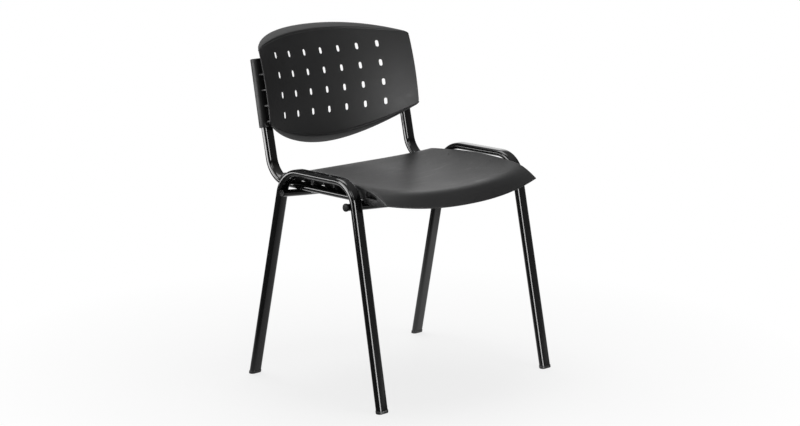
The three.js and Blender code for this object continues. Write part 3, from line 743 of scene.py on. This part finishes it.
class Dish:
    """The seat's upper surface, by how far across it lies and by its row from rear to front."""

    def __init__(self):
        middle = relaxed(seat_line(SEAT_MIDDLE_SHARES), SEAT_MIDDLE_RELAXING)
        side = relaxed(seat_line(SEAT_SIDE_SHARES), SEAT_SIDE_RELAXING)
        along = unit(np.gradient(side, axis=0))
        side = side + stacked(along[:, 1], -along[:, 0]) * SEAT_SIDE_SHIFT
        steps = [np.linalg.norm(np.diff(line, axis=0), axis=1) for line in (middle, side)]
        length = np.concatenate([[0], np.cumsum((steps[0] + steps[1]) / 2)])
        fade = np.linspace(1, 0, len(middle)) ** SEAT_POWER_FADE
        power = SEAT_FRONT_POWER + (SEAT_REAR_POWER - SEAT_FRONT_POWER) * fade
        inset = SEAT_WALL / 2
        marks = np.concatenate([
            np.linspace(inset, SEAT_REAR_ZONE, 20)[:-1],
            np.linspace(SEAT_REAR_ZONE, length[-1] - SEAT_FRONT_ZONE, 96)[:-1],
            np.linspace(length[-1] - SEAT_FRONT_ZONE, length[-1] - inset, 48),
        ])

        def at(values):
            return np.interp(marks, length, values)

        self.middle = stacked(*map(at, middle.T))
        self.side = stacked(*map(at, side.T))
        self.power = at(power)
        self.marks = marks

    def points(self, xs):
        """A grid of points, row by row, and the way each faces."""
        xs = np.asarray(xs, float)
        reach, power = np.abs(xs / SEAT_HALF), self.power[:, None]
        share = (reach ** power)[:, :, None]
        place = self.middle[:, None, :] * (1 - share) + self.side[:, None, :] * share
        points = np.concatenate([np.broadcast_to(xs, share.shape[:2])[:, :, None], place], axis=2)
        slope = (power * reach ** (power - 1) * np.sign(xs) / SEAT_HALF)[:, :, None]
        across = np.concatenate([np.ones(share.shape), (self.side - self.middle)[:, None, :] * slope], axis=2)
        forward = np.gradient(points, self.marks, axis=0)
        return points, unit(np.cross(forward, across))

    def heights(self, xs, ys):
        """How high the surface is at places, of which xs or ys may be one value for all."""
        xs, ys = np.broadcast_arrays(xs, ys)
        columns = self.points(xs)[0].swapaxes(0, 1)
        return np.array([np.interp(-y, -column[:, 1], column[:, 2]) for y, column in zip(ys, columns)])


def seat_skins(dish):
    """Outer and inner points and the faces of the dish with its rounded side edges and side walls."""
    points, facing = dish.points(crowded(SIDE_ROUNDING_START, 97, 0.86))
    grids = [points, points - facing * SEAT_WALL]
    for side, column in ((-1, 0), (1, -1)):
        normal = facing[:, column]
        outward = side * normal[:, :1]
        radius = (SEAT_HALF - SIDE_ROUNDING_START) / (1 - outward)
        centre = points[:, column] - normal * radius
        flat = unit((side, 0, 0) - normal * outward)
        turn = np.arccos(np.clip(outward, -1, 1))
        rolls = [], []
        for step in range(1, SIDE_STEPS + 1):
            share = step / SIDE_STEPS
            way = normal * np.cos(turn * share) + flat * np.sin(turn * share)
            wall = SEAT_WALL + (SIDE_WALL - SEAT_WALL) * min(1.0, share * SIDE_THINNING)
            rolls[0].append(centre + way * radius)
            rolls[1].append(centre + way * np.maximum(radius - wall, SIDE_INNER_LEAST))
        for k, roll in enumerate(rolls):
            parts = (grids[k], np.stack(roll, axis=1)[:, ::side])
            grids[k] = np.concatenate(parts[::side], axis=1)
    rows, count = grids[0].shape[:2]
    faces = [
        (i * count + j, (i + 1) * count + j, (i + 1) * count + j + 1, i * count + j + 1)
        for i in range(rows - 1) for j in range(count - 1)
    ]
    outer, inner = (list(grid.reshape(-1, 3)) for grid in grids)
    windows = []
    for side, column in ((-1, 0), (1, count - 1)):
        top = grids[0][:, column, 1:]
        tip = (top[-1][0] + SKIRT_TIP[0], top[-1][1] + SKIRT_TIP[1], SKIRT_TIP[2])
        lower = dense(rounded([tip, *SIDE_WALL_EDGE], closed=False), SIDE_WALL_GAP, closed=False)
        window = dense(rounded(WINDOW_CORNERS), WINDOW_GAP)
        flat, triangles = filled([np.vstack([top, lower]), window])
        ids = [row * count + column for row in range(rows)]
        ids += range(len(outer), len(outer) + len(flat) - rows)
        outer.extend(stacked(side * SEAT_HALF, *flat[rows:].T))
        inner.extend(stacked(side * (SEAT_HALF - SIDE_WALL), *flat[rows:].T))
        faces.extend(tuple(ids[corner] for corner in face[::side]) for face in triangles)
        windows.append(np.array([side * SEAT_HALF, *window.mean(axis=0)]))
    return np.array(outer), np.array(inner), faces, windows


def fin(body, stations, offset, along_y=False):
    """A thin rib with a rounded lower edge, through stations of place along it, top and bottom."""
    half = RIB_WALL / 2
    rings = []
    for place, top, bottom in stations:
        centre = bottom + RIB_ROUNDING
        section = [(-half - RIB_DRAFT, top), (half + RIB_DRAFT, top)]
        for turn in RIB_EDGE_TURNS:
            section.append((half * math.cos(turn), centre - RIB_ROUNDING * math.sin(turn)))
        rings.append([(offset + v, place, z) if along_y else (place, offset + v, z) for v, z in section])
    loft(body, rings)


def seat_ribs(body, dish):
    inner = RAIL_X - TUBE_WIDTH / 2 - RIB_WALL
    end = SEAT_HALF - RIB_END_INSET
    flat_end = RAIL_X + OVAL_REACH
    outer_xs = np.linspace(inner, end, 14)
    xs = np.concatenate([-outer_xs[::-1], np.linspace(-inner, inner, 61)[1:-1], outer_xs])
    reach = np.abs(xs)
    level = np.interp(reach, [inner, flat_end, end - RIB_END_FALL], [PAD_HEIGHT, PAD_HEIGHT, RIB_END_HEIGHT])
    blend = np.clip((reach - inner + RIB_BLEND) / RIB_BLEND, 0, 1)
    for index in range(RIB_COUNT):
        y = index * RIB_PITCH - FIRST_RIB_REACH
        tops = dish.heights(np.clip(xs, -SIDE_ROUNDING_START, SIDE_ROUNDING_START), y) - SEAT_WALL / 2
        follow = tops - SEAT_WALL / 2 - RIB_DEPTH
        lows = np.where(reach >= inner, level, follow * (1 - blend) + PAD_HEIGHT * blend)
        fin(body, zip(xs, tops, lows), y)
    ys = np.linspace(-FIRST_RIB_REACH - RIB_PITCH, (RIB_COUNT - 0.5) * RIB_PITCH - FIRST_RIB_REACH, 71)
    for index in (-1, 0, 1):
        x = index * SPINE_PITCH
        tops = dish.heights(x, ys) - SEAT_WALL / 2
        fin(body, zip(ys, tops, tops - SEAT_WALL / 2 - RIB_DEPTH), x, along_y=True)
    ys = np.linspace(WINDOW_RIB_EDGE[0][0], WINDOW_RIB_EDGE[-1][0], 40)
    lows = np.interp(ys, *np.transpose(WINDOW_RIB_EDGE))
    for side in SIDES:
        x = side * WINDOW_RIB_X
        tops = dish.heights(x, ys) - SEAT_WALL / 2
        fin(body, zip(ys, np.maximum(tops, lows + WINDOW_RIB_LEAST), lows), x, along_y=True)
        for bay_share in BOSS_BAY_SHARES:
            boss(body, dish, side * RAIL_X, boss_y(bay_share))


def boss(body, dish, x, y):
    """A round boss between the dish and the rail, where a screw goes in."""
    dish_height = dish.heights([x], y)[0] - SEAT_WALL
    radius = BOSS_DIAMETER / 2
    profile = [(0, PAD_HEIGHT), (radius - BOSS_CHAMFER, PAD_HEIGHT), (radius, PAD_HEIGHT + BOSS_CHAMFER)]
    profile += [(radius + out, dish_height + up) for out, up in BOSS_FILLET]
    turned(body, profile, lambda ring: ring + (x, y, 0))


def seat_shell(body):
    dish = Dish()
    outer, inner, faces, windows = seat_skins(dish)

    def rim_of(edge):
        """A collar at each window and a bullnose elsewhere."""
        apart = [np.linalg.norm(edge.mean(axis=0) - window) for window in windows]
        return collar if min(apart) < WINDOW_NEARNESS else bullnose

    shell(body, outer, inner, faces, rim_of)
    seat_ribs(body, dish)


# Back shell, in the frame of the leaning uprights: x across, y backward, z up the uprights

def face_y(x, rise):
    across = (x / PANEL_HALF) ** 2
    forward = PANEL_SIDE_CURVE * across * (1 - PANEL_CURL_SHARE + PANEL_CURL_SHARE * across)
    return PANEL_SETBACK - forward + PANEL_END_CURVE * (rise / FACE_REACH_SCALE) ** 2


def corner_fall(x):
    into = np.maximum(0, np.abs(x) - PANEL_HALF + PANEL_CORNER_RADIUS)
    return PANEL_CORNER_RADIUS - np.sqrt(np.maximum(0, PANEL_CORNER_RADIUS ** 2 - into ** 2))


def face_ends(x):
    across = (x / PANEL_HALF) ** 2
    top = FACE_TOP_REACH - FACE_TOP_FALL * across - corner_fall(x)
    bottom = -FACE_BOTTOM_REACH + FACE_BOTTOM_RISE * across + corner_fall(x)
    return bottom, top


def roll_profile(depth):
    """A crease and then a gently bent band: how high it has risen, and how far it has gone back."""
    length = math.hypot(ROLL_HEIGHT, depth)
    s = np.linspace(0, length, 64)
    start = math.atan2(depth, ROLL_HEIGHT) - BAND_FLATTENING
    past = s - CREASE_LENGTH
    way = np.where(past < 0, start * s / CREASE_LENGTH, start + BAND_TURN * past / (length - CREASE_LENGTH))
    step = np.diff(s)
    middle = (way[1:] + way[:-1]) / 2
    rise = np.concatenate([[0], np.cumsum(np.cos(middle) * step)])
    back = np.concatenate([[0], np.cumsum(np.sin(middle) * step)])
    return s / length, rise * ROLL_HEIGHT / rise[-1], back * depth / back[-1]


ROLLS = {1: roll_profile(TOP_ROLL_DEPTH), -1: roll_profile(BOTTOM_ROLL_DEPTH)}
FACE_SPAN = 126.0  # how far the domain of the panel reaches from its middle to each crease
ROLL_SPAN = 28.0  # and across each rolled band
# Rows of the panel's mesh
PANEL_EDGE_INSET = 1.2
FACE_MARGIN = 8.0
NEAR_CREASE = (5.2, 4.2, 3.4, 2.7, 2.1, 1.6, 1.1, 0.5, 0)
ROLL_START_SHARES = (0.04, 0.08, 0.12, 0.165)


def panel_point(domain):
    """From the panel's flat domain to its face."""
    x, v = np.asarray(domain, float).T
    bottom, top = face_ends(x)
    share = np.clip(v / FACE_SPAN, -1, 1)
    rise = bottom + (top - bottom) * (share + 1) / 2
    past = np.clip((np.abs(v) - FACE_SPAN) / ROLL_SPAN, 0, 1)
    slope = -PANEL_SIDE_CURVE * (2 * x * (1 - PANEL_CURL_SHARE) / PANEL_HALF ** 2
                                 + 4 * PANEL_CURL_SHARE * x ** 3 / PANEL_HALF ** 4)
    facing = unit(stacked(-slope, 1))
    past_groove = (np.abs(v) - FACE_SPAN + CREASE_GROOVE_INSET) / CREASE_GROOVE_WIDTH
    y = face_y(x, rise) + CREASE_GROOVE * np.exp(-past_groove ** 2)
    z = PANEL_CENTRE_UP + rise
    for sign, power in ((1, TOP_ROLL_POWER), (-1, BOTTOM_ROLL_POWER)):
        knots, rises, backs = ROLLS[sign]
        on = (np.sign(v) == sign) * (1 - np.minimum(1, np.abs(x) / (PANEL_HALF + ROLL_OVERRUN)) ** power)
        back = np.interp(past, knots, backs) * on
        z = z + sign * np.interp(past, knots, rises) * on
        x = x + back * facing[:, 0]
        y = y + back * facing[:, 1]
    return stacked(x, y, z)


def panel_skins(domain, depth):
    """Points of the panel at a depth below its face."""
    step = 0.4
    limit = np.array([PANEL_HALF, FACE_SPAN + ROLL_SPAN])
    moves = ((step, 0), (-step, 0), (0, step), (0, -step))
    right, left, up, down = (panel_point(np.clip(domain + np.array(move), -limit, limit)) for move in moves)
    facing = unit(np.cross(right - left, up - down))
    return panel_point(domain) - facing * depth


def slot_loop(x, rise, growth):
    radius = SLOT_WIDTH / 2 + growth
    reach = (SLOT_HEIGHT - SLOT_WIDTH) / 2
    angles = np.linspace(0, math.pi, SLOT_STEPS + 1)
    top = stacked(radius * np.cos(angles), reach + radius * np.sin(angles))
    loop = dense(np.vstack([top, -top]), SLOT_GAP) + (x, rise)
    bottom, high = face_ends(loop[:, 0])
    loop[:, 1] = FACE_SPAN * (2 * (loop[:, 1] - bottom) / (high - bottom) - 1)
    return loop


def panel_marks():
    """The columns and rows of the panel's mesh, closer together towards the creases and sides."""
    columns = crowded(PANEL_HALF - PANEL_EDGE_INSET, 107, 0.8)
    roll = FACE_SPAN + ROLL_SPAN * np.concatenate([ROLL_START_SHARES, np.linspace(0.23, 0.94, 9)])
    upper = np.concatenate([FACE_SPAN - np.array(NEAR_CREASE), roll])
    plain = FACE_SPAN - FACE_MARGIN
    return columns, np.concatenate([-upper[::-1], np.linspace(-plain, plain, 53), upper])


def back_panel(body):
    columns, rows = panel_marks()
    half_outline = np.vstack([stacked(columns, rows[0]), stacked(columns[-1], rows[1:-1])])
    outline = np.vstack([half_outline, -half_outline])
    spots = [
        ((column - (SLOT_COLUMNS - 1) / 2) * SLOT_PITCH_ACROSS,
         SLOT_PATTERN_RISE + (row - (SLOT_ROWS - 1) / 2) * SLOT_PITCH_UP)
        for row in range(SLOT_ROWS) for column in range(SLOT_COLUMNS)
    ]
    slots, halos, clearings = (
        [slot_loop(*spot, growth) for spot in spots] for growth in (SLOT_ROUNDING, SLOT_HALO, SLOT_CLEARING)
    )
    u, v = np.meshgrid(columns[1:-1], rows[1:-1])
    grid = stacked(u.ravel(), v.ravel())
    domain, faces = filled([outline, *slots], [*grid[~inside(clearings, grid)], *np.vstack(halos)])

    def rim_of(edge):
        """A bullnose round the whole panel and a flatter one in the slots."""
        whole = len(edge) > len(columns)
        return bullnose if whole else partial(bullnose, bulge=0.3, square=0.55, steps=8)

    shell(body, panel_skins(domain, 0), panel_skins(domain, PANEL_WALL), faces, rim_of, leaned)


def sleeve(body, side):
    low = PANEL_CENTRE_UP - SLEEVE_BOTTOM_DOWN
    high = PANEL_CENTRE_UP + SLEEVE_TOP_UP
    bore = SLIDE_CLEARANCE
    foot, top = bore + SLEEVE_BOTTOM_WALL, bore + SLEEVE_TOP_WALL
    path = [(bore, high - SLEEVE_LID), (bore, low + SLEEVE_MOUTH), (bore + SLEEVE_MOUTH, low)]
    path += [(foot + out, low + up) for out, up in SLEEVE_FOOT_EDGE]
    for into, down in quarter(8):
        path.append((top - SLEEVE_TOP_ROUNDING * into, high - SLEEVE_TOP_ROUNDING * down))
    loft(body, [flat_ring(oval(growth), height) for growth, height in path],
         lambda ring: leaned(ring + (side * RAIL_X, 0, 0)))


def behind_panel(x, rise):
    """Just inside the panel's rear skin."""
    slope = math.hypot(1, PANEL_SIDE_CURVE * 2 * abs(x) / PANEL_HALF ** 2)
    return face_y(x, rise) + PANEL_WALL * slope - PANEL_SINK


def web(body, side):
    """The plate between a sleeve and the back of the panel, and the gussets that stand out from it."""
    x = RAIL_X - OVAL_REACH
    low = -SLEEVE_BOTTOM_DOWN + WEB_INSET
    high = SLEEVE_TOP_UP - WEB_INSET
    front = -TUBE_THICKNESS / 2 - SLIDE_CLEARANCE + WEB_SINK
    rises = np.linspace(low, high, 40)
    outline = np.vstack([
        stacked(behind_panel(x, rises), PANEL_CENTRE_UP + rises)[::-1],
        [(front, PANEL_CENTRE_UP + low), (front, PANEL_CENTRE_UP + high)],
    ])
    flat, faces = filled([dense(outline, WEB_GAP)])
    outer, inner = (stacked(side * (x + reach), *flat.T) for reach in (WEB_WALL / 2, -WEB_WALL / 2))
    faces = [face[::side] for face in faces]
    shell(body, outer, inner, faces, lambda edge: partial(bullnose, bulge=0.35, square=0.6), leaned)
    half = GUSSET_WALL / 2
    for index in range(GUSSET_COUNT):
        rise = GUSSET_TOP_UP - index * GUSSET_PITCH
        z = PANEL_CENTRE_UP + rise
        rings = []
        for across in np.linspace(x, RAIL_X + GUSSET_REACH, 9):
            near = behind_panel(across, rise)
            far = front + max(0, across - RAIL_X - OVAL_REACH) ** 2 / TUBE_THICKNESS
            corners = ((near, z - half), (far, z - half), (far, z + half), (near, z + half))
            rings.append([(side * across, *corner) for corner in corners])
        loft(body, rings, leaned)


def back_shell(body):
    back_panel(body)
    for side in SIDES:
        sleeve(body, side)
        web(body, side)


# Materials

UPWARD = (0, 0, 1)


class Nodes:
    """A short way to write a node material."""

    def __init__(self, name, world=False):
        self.material = (bpy.data.worlds if world else bpy.data.materials).new(name)
        self.material.use_nodes = True
        self.tree = self.material.node_tree
        self.tree.nodes.clear()
        self.place = self.node("TexCoord").outputs["Generated" if world else "Object"]

    def node(self, kind, feeds=None, **values):
        """A new node, whose inputs are fed with values or with other nodes' outputs."""
        made = self.tree.nodes.new("ShaderNode" + kind)
        for key, value in values.items():
            setattr(made, key, value)
        for key, value in (feeds or {}).items():
            if isinstance(value, bpy.types.NodeSocket):
                self.tree.links.new(value, made.inputs[key])
            else:
                made.inputs[key].default_value = value
        return made

    def stretched(self, scale):
        return self.node("Mapping", {"Vector": self.place, "Scale": scale}).outputs["Vector"]

    def noise(self, scale, detail=3.0, roughness=0.55, place=None):
        feeds = {"Vector": place or self.place, "Scale": scale, "Detail": detail, "Roughness": roughness}
        return self.node("TexNoise", feeds).outputs["Fac"]

    def pits(self, scale):
        feeds = {"Vector": self.place, "Scale": scale}
        return self.node("TexVoronoi", feeds, feature="SMOOTH_F1").outputs["Distance"]

    def spread(self, value, low, high, to_low=0.0, to_high=1.0):
        feeds = {"Value": value, "From Min": low, "From Max": high, "To Min": to_low, "To Max": to_high}
        return self.node("MapRange", feeds).outputs["Result"]

    def maths(self, operation, first, second):
        return self.node("Math", {0: first, 1: second}, operation=operation).outputs[0]

    def blend(self, share, first, second):
        first, second = ((*item, 1) if isinstance(item, tuple) else item for item in (first, second))
        feeds = {"Factor": share, "A": first, "B": second}
        return self.node("Mix", feeds, data_type="RGBA").outputs["Result"]

    def bump(self, height, distance, strength=1.0, normal=None):
        feeds = {"Height": height, "Distance": distance, "Strength": strength}
        if normal:
            feeds["Normal"] = normal
        return self.node("Bump", feeds).outputs["Normal"]

    def edges(self, low=0.51, high=0.6):
        """How far a place stands out as an edge, broken up by a noise."""
        sharp = self.spread(self.node("NewGeometry").outputs["Pointiness"], low, high)
        return self.maths("MULTIPLY", sharp, self.spread(self.noise(130, 4), 0.42, 0.68))

    def along(self, way):
        """How far the place lies along a direction."""
        return self.node("VectorMath", {0: self.place, 1: way}, operation="DOT_PRODUCT").outputs["Value"]

    def rays(self, *kinds):
        """One for rays of these kinds and nought for others."""
        path = self.node("LightPath")
        total = 0.0
        for kind in kinds:
            total = self.maths("ADD", total, path.outputs[f"Is {kind} Ray"])
        return self.maths("MINIMUM", total, 1.0)

    def show(self, shader, output="OutputMaterial"):
        self.node(output, {"Surface": shader.outputs[0]})
        return self.material

    def finish(self, colour, roughness, normal, **plain):
        feeds = {"Base Color": colour, "Roughness": roughness, "Normal": normal, **plain}
        return self.show(self.node("BsdfPrincipled", feeds))


def scaled(colour, factor):
    return tuple(factor * value for value in colour)


def moulded_plastic(name, dark, light, rough, grain, specular):
    """Black moulded plastic with a fine even grain, a little mottling and paler worn edges."""
    n = Nodes(name)
    broad = n.noise(7, 4)
    fine = n.noise(520, 3, 0.6)
    colour = n.blend(n.spread(broad, 0.3, 0.7), dark, light)
    specks = n.spread(n.noise(900, 2), 0.66, 0.78, 0.0, 0.5)
    colour = n.blend(specks, colour, scaled(light, 1.9))
    colour = n.blend(n.maths("MULTIPLY", n.edges(), 0.5), colour, scaled(light, 3.2))
    scuffs = n.spread(n.noise(4, 5, 0.7, n.stretched((3, 14, 14))), 0.56, 0.8, 0.0, 0.12)
    grained = n.spread(n.maths("ADD", broad, fine), 0.7, 1.3, rough - 0.05, rough + 0.06)
    roughness = n.maths("SUBTRACT", grained, scuffs)
    pitted = n.bump(n.pits(750), grain, 0.6)
    normal = n.bump(fine, grain * 0.7, 0.5, pitted)
    return n.finish(colour, roughness, normal, **{"Specular IOR Level": specular})


def gloss_paint(name, colour, rough):
    """Gloss black powder coat: a faint orange peel, dust and fine rubbing."""
    n = Nodes(name)
    broad = n.noise(11, 4)
    peel = n.noise(190, 2, 0.4)
    dust = n.spread(n.noise(60, 5, 0.65), 0.6, 0.85, 0.0, 0.35)
    shade = n.blend(dust, colour, scaled(colour, 2.4))
    shade = n.blend(n.maths("MULTIPLY", n.edges(0.53, 0.66), 0.12), shade, (0.06, 0.06, 0.06))
    rubbed = n.spread(n.noise(5, 5, 0.7, n.stretched((9, 9, 2))), 0.5, 0.75, 0.0, 0.03)
    roughness = n.maths("ADD", n.spread(broad, 0.3, 0.7, rough - 0.01, rough + 0.02), rubbed)
    return n.finish(shade, roughness, n.bump(peel, 0.00001, 0.3))


def zinc_plate(name):
    """Bright zinc plate with turning marks and duller patches."""
    n = Nodes(name)
    patches = n.noise(160, 4)
    marks = n.noise(30, 3, 0.6, n.stretched((20, 20, 160)))
    colour = n.blend(n.spread(patches, 0.35, 0.7), (0.55, 0.56, 0.57), (0.36, 0.36, 0.35))
    roughness = n.spread(patches, 0.3, 0.7, 0.26, 0.42)
    return n.finish(colour, roughness, n.bump(marks, 0.00002, 0.5), Metallic=1.0)


def scuffed_glide(name):
    """Black plastic that is scraped grey and rough near the floor."""
    n = Nodes(name)
    low = n.spread(n.along(UPWARD), 0.0035, 0.0003)
    scrape = n.maths("MULTIPLY", low, n.spread(n.noise(420, 4, 0.6, n.stretched((1, 1, 0.3))), 0.4, 0.7))
    colour = n.blend(n.spread(n.noise(30, 3), 0.3, 0.7), (0.011, 0.011, 0.012), (0.015, 0.015, 0.016))
    colour = n.blend(n.maths("MULTIPLY", scrape, 0.6), colour, (0.075, 0.073, 0.07))
    even = n.spread(n.noise(90, 3), 0.3, 0.7, 0.36, 0.46)
    roughness = n.maths("ADD", even, n.maths("MULTIPLY", scrape, 0.25))
    return n.finish(colour, roughness, n.bump(n.noise(600, 3), 0.00004, 0.5))


MATERIALS = {
    "moulded_shell": moulded_plastic(
        "moulded_shell", (0.012, 0.012, 0.0125), (0.016, 0.016, 0.0165), 0.47, grain=0.00005, specular=0.27),
    "gloss_frame": gloss_paint("gloss_frame", (0.004, 0.004, 0.0043), 0.1),
    "plastic_plug": moulded_plastic(
        "plastic_plug", (0.006, 0.006, 0.0065), (0.009, 0.009, 0.0095), 0.42, grain=0.00003, specular=0.07),
    "foot_glide": scuffed_glide("foot_glide"),
    "zinc_screw": zinc_plate("zinc_screw"),
}


# Pieces

SHARP_ANGLE = math.radians(38)


def placed(name, data):
    """A new object of the scene."""
    made = bpy.data.objects.new(name, data)
    bpy.context.scene.collection.objects.link(made)
    return made


def make(name, slot, node, builder, *values):
    """One piece of the chair, which stands for one of the model's nodes."""
    body = Body()
    builder(body, *values)
    mesh = bpy.data.meshes.new(name)
    places = (np.array(body.points) + (0, SHIFT, 0)) / 1000
    mesh.from_pydata(places.tolist(), [], body.faces)
    work = bmesh.new()
    work.from_mesh(mesh)
    bmesh.ops.recalc_face_normals(work, faces=work.faces)
    work.to_mesh(mesh)
    work.free()
    mesh.polygons.foreach_set("use_smooth", [True] * len(mesh.polygons))
    mesh.set_sharp_from_angle(angle=SHARP_ANGLE)
    piece = placed(name, mesh)
    mesh.materials.append(MATERIALS[slot])
    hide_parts(node)
    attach(piece, "root")


for side in SIDES:
    name = SIDE_NAME[side]
    make(f"leg_frame_{name}", "gloss_frame", f"side_frame_{name}", side_frame, side)
    make(f"back_tube_{name}", "gloss_frame", f"back_upright_{name}", back_upright, side)
    make(f"rail_end_plug_{name}", "plastic_plug", f"rail_plug_{name}", rail_plug, side)
    make(f"back_fixing_{name}", "zinc_screw", f"back_screw_{name}", back_screw, side)
    for end in ENDS:
        place = f"{END_NAME[end]}_{name}"
        make(f"glide_{place}", "foot_glide", f"foot_glide_{place}", foot_glide, side, end)
        make(f"tube_plug_{place}", "plastic_plug", f"cross_tube_plug_{place}", cross_plug, side, end)
    for bay, bay_share in zip(("front", "rear"), BOSS_BAY_SHARES):
        place = f"{bay}_{name}"
        make(f"seat_fixing_{place}", "zinc_screw", f"seat_screw_{place}", seat_screw, side, bay_share)
for end in ENDS:
    make(f"bowed_tube_{END_NAME[end]}", "gloss_frame", f"{END_NAME[end]}_cross_tube", cross_tube, end)
make("seat_moulding", "moulded_shell", "seat_shell", seat_shell)
make("back_moulding", "moulded_shell", "back_shell", back_shell)


# Studio, in metres

ROOM_LEVEL = 0.08
ROOM_OVERHEAD = 0.45
ROOM_LEFT = 0.25
ROOM_FRONT = 0.2
# Directions from the chair
BEHIND = (0.686, 0.728, 0)  # away from the camera
RIGHTWARD = (0.728, -0.686, 0)  # to the right as the camera sees it
FRONT_RIGHT = (0.67, -0.74, 0)
LEFT = (-0.9, 0.42, 0)
FLOOR_REACH = 30.0

CAMERA_FOCAL_PIXELS = 2093.1
PHOTO_WIDTH_PIXELS = 800
CAMERA_PLACE = (-3.2505, -3.4474, 1.3736)
CAMERA_AZIMUTH = math.radians(-43.30)
CAMERA_DIP = math.radians(11.876)


def studio_floor():
    """A pale floor that turns to white away from the chair and keeps the chair's shadow. In reflections it
    shows no shadow, only a painted glow: white behind the chair, dim elsewhere, brighter far to the front
    right.
    """
    n = Nodes("studio_floor")
    apart = n.node("VectorMath", {0: n.place}, operation="LENGTH").outputs["Value"]
    far = n.spread(apart, 0.3, 1.05, 0.785, 1.0)
    right = n.along(RIGHTWARD)
    sides = n.maths("MULTIPLY", n.spread(right, -1.1, -0.6), n.spread(right, 0.85, 0.55))
    behind = n.maths("MULTIPLY", n.spread(n.along(BEHIND), -0.25, 0.15), sides)
    front = n.spread(n.along(FRONT_RIGHT), 1.3, 2.6, 0.0, 0.7)
    # Painted reflection: the level at which the floor glows in glossy rays, in place of its lit colour
    painted_reflection_level = n.maths("ADD", n.spread(behind, 0, 1, 0.12, 1.0), front)
    grey = n.blend(n.spread(n.noise(3, 3), 0.3, 0.7), (0.86, 0.86, 0.86), (0.88, 0.88, 0.88))
    matt = n.node("BsdfDiffuse", {"Color": grey})
    glow = n.maths("MAXIMUM", n.rays("Camera"), painted_reflection_level)
    white = n.node("Emission", {"Color": (1, 1, 1, 1), "Strength": glow})
    seen = n.maths("MULTIPLY", far, n.rays("Camera"))
    share = n.maths("MAXIMUM", n.rays("Glossy", "Transmission"), seen)
    mixed = n.node("MixShader", {0: share, 1: matt.outputs[0], 2: white.outputs[0]})
    mesh = bpy.data.meshes.new("studio_floor")
    corners = [(-1, -1, 0), (1, -1, 0), (1, 1, 0), (-1, 1, 0)]
    mesh.from_pydata([[FLOOR_REACH * value for value in corner] for corner in corners], [], [(0, 1, 2, 3)])
    mesh.materials.append(n.show(mixed))
    placed("studio_floor", mesh)


def studio_world():
    """A dim room with a white sheet behind the chair. The camera sees white all round."""
    n = Nodes("studio", world=True)
    height = n.along(UPWARD)
    overhead = n.spread(height, 0.45, 0.9, 0.0, ROOM_OVERHEAD)
    left = n.spread(n.along(LEFT), 0.5, 0.95, 0.0, ROOM_LEFT)
    front = n.maths("MULTIPLY", n.spread(n.along(FRONT_RIGHT), 0.75, 0.98), n.spread(height, 0.4, 0.1))
    room = n.maths("ADD", n.maths("ADD", overhead, left), n.spread(front, 0, 1, ROOM_LEVEL, ROOM_FRONT))
    sheet = n.maths("MULTIPLY", n.spread(n.along(BEHIND), 0.78, 0.92), n.spread(height, 0.55, 0.35))
    mirrored = n.maths("MULTIPLY", n.rays("Glossy", "Transmission"), sheet)
    share = n.maths("MAXIMUM", n.rays("Camera"), mirrored)
    background = n.node("Background", {"Color": (1, 1, 1, 1), "Strength": n.spread(share, 0, 1, room, 1.0)})
    bpy.context.scene.world = n.show(background, "OutputWorld")


def softbox(name, place, aim, width, height, level, mirrored_only=False):
    """A lamp that looks as bright as its level times white."""
    light = bpy.data.lights.new(name, "AREA")
    light.shape = "RECTANGLE"
    light.size, light.size_y = width, height
    light.energy = level * math.pi * width * height
    lamp = placed(name, light)
    lamp.location = place
    lamp.rotation_euler = (Vector(aim) - Vector(place)).to_track_quat("-Z", "Y").to_euler()
    lamp.visible_camera = False
    lamp.visible_diffuse = not mirrored_only


def camera():
    data = bpy.data.cameras.new("camera")
    data.sensor_width = 36.0
    data.lens = CAMERA_FOCAL_PIXELS * data.sensor_width / PHOTO_WIDTH_PIXELS
    viewer = placed("camera", data)
    viewer.location = Vector(CAMERA_PLACE) + Vector((0, SHIFT / 1000, 0))
    level = Vector((-math.sin(CAMERA_AZIMUTH), math.cos(CAMERA_AZIMUTH), 0))
    way = level * math.cos(CAMERA_DIP) - Vector((0, 0, math.sin(CAMERA_DIP)))
    viewer.rotation_euler = way.to_track_quat("-Z", "Y").to_euler()
    bpy.context.scene.camera = viewer


camera()
studio_floor()
studio_world()
softbox("key", (0.5, -1.5, 2.0), (0, 0, 0.6), 0.9, 0.9, 2)
softbox("top", (0.25, 0.6, 2.3), (0, 0, 0.45), 1.6, 1.2, 4)
softbox("back", (1.35, 1.45, 1.15), (0, 0, 0.5), 1.7, 0.9, 0.6)
softbox("strip", (-0.02, -1.3, 0.5), (0, 0, 0.5), 0.6, 1.0, 12, mirrored_only=True)
softbox("side", (-1.51, 0.33, 1.0), (0, 0, 0.7), 1.0, 1.4, 8, mirrored_only=True)
softbox("rear left", (-0.72, 0.46, 0.5), (-0.28, 0, 0.5), 0.7, 0.18, 8, mirrored_only=True)
softbox("over the camera", (-1.5, -1.5, 2.3), (0, 0, 0.5), 1.0, 0.8, 6, mirrored_only=True)

bpy.context.scene.view_settings.view_transform = "Standard"
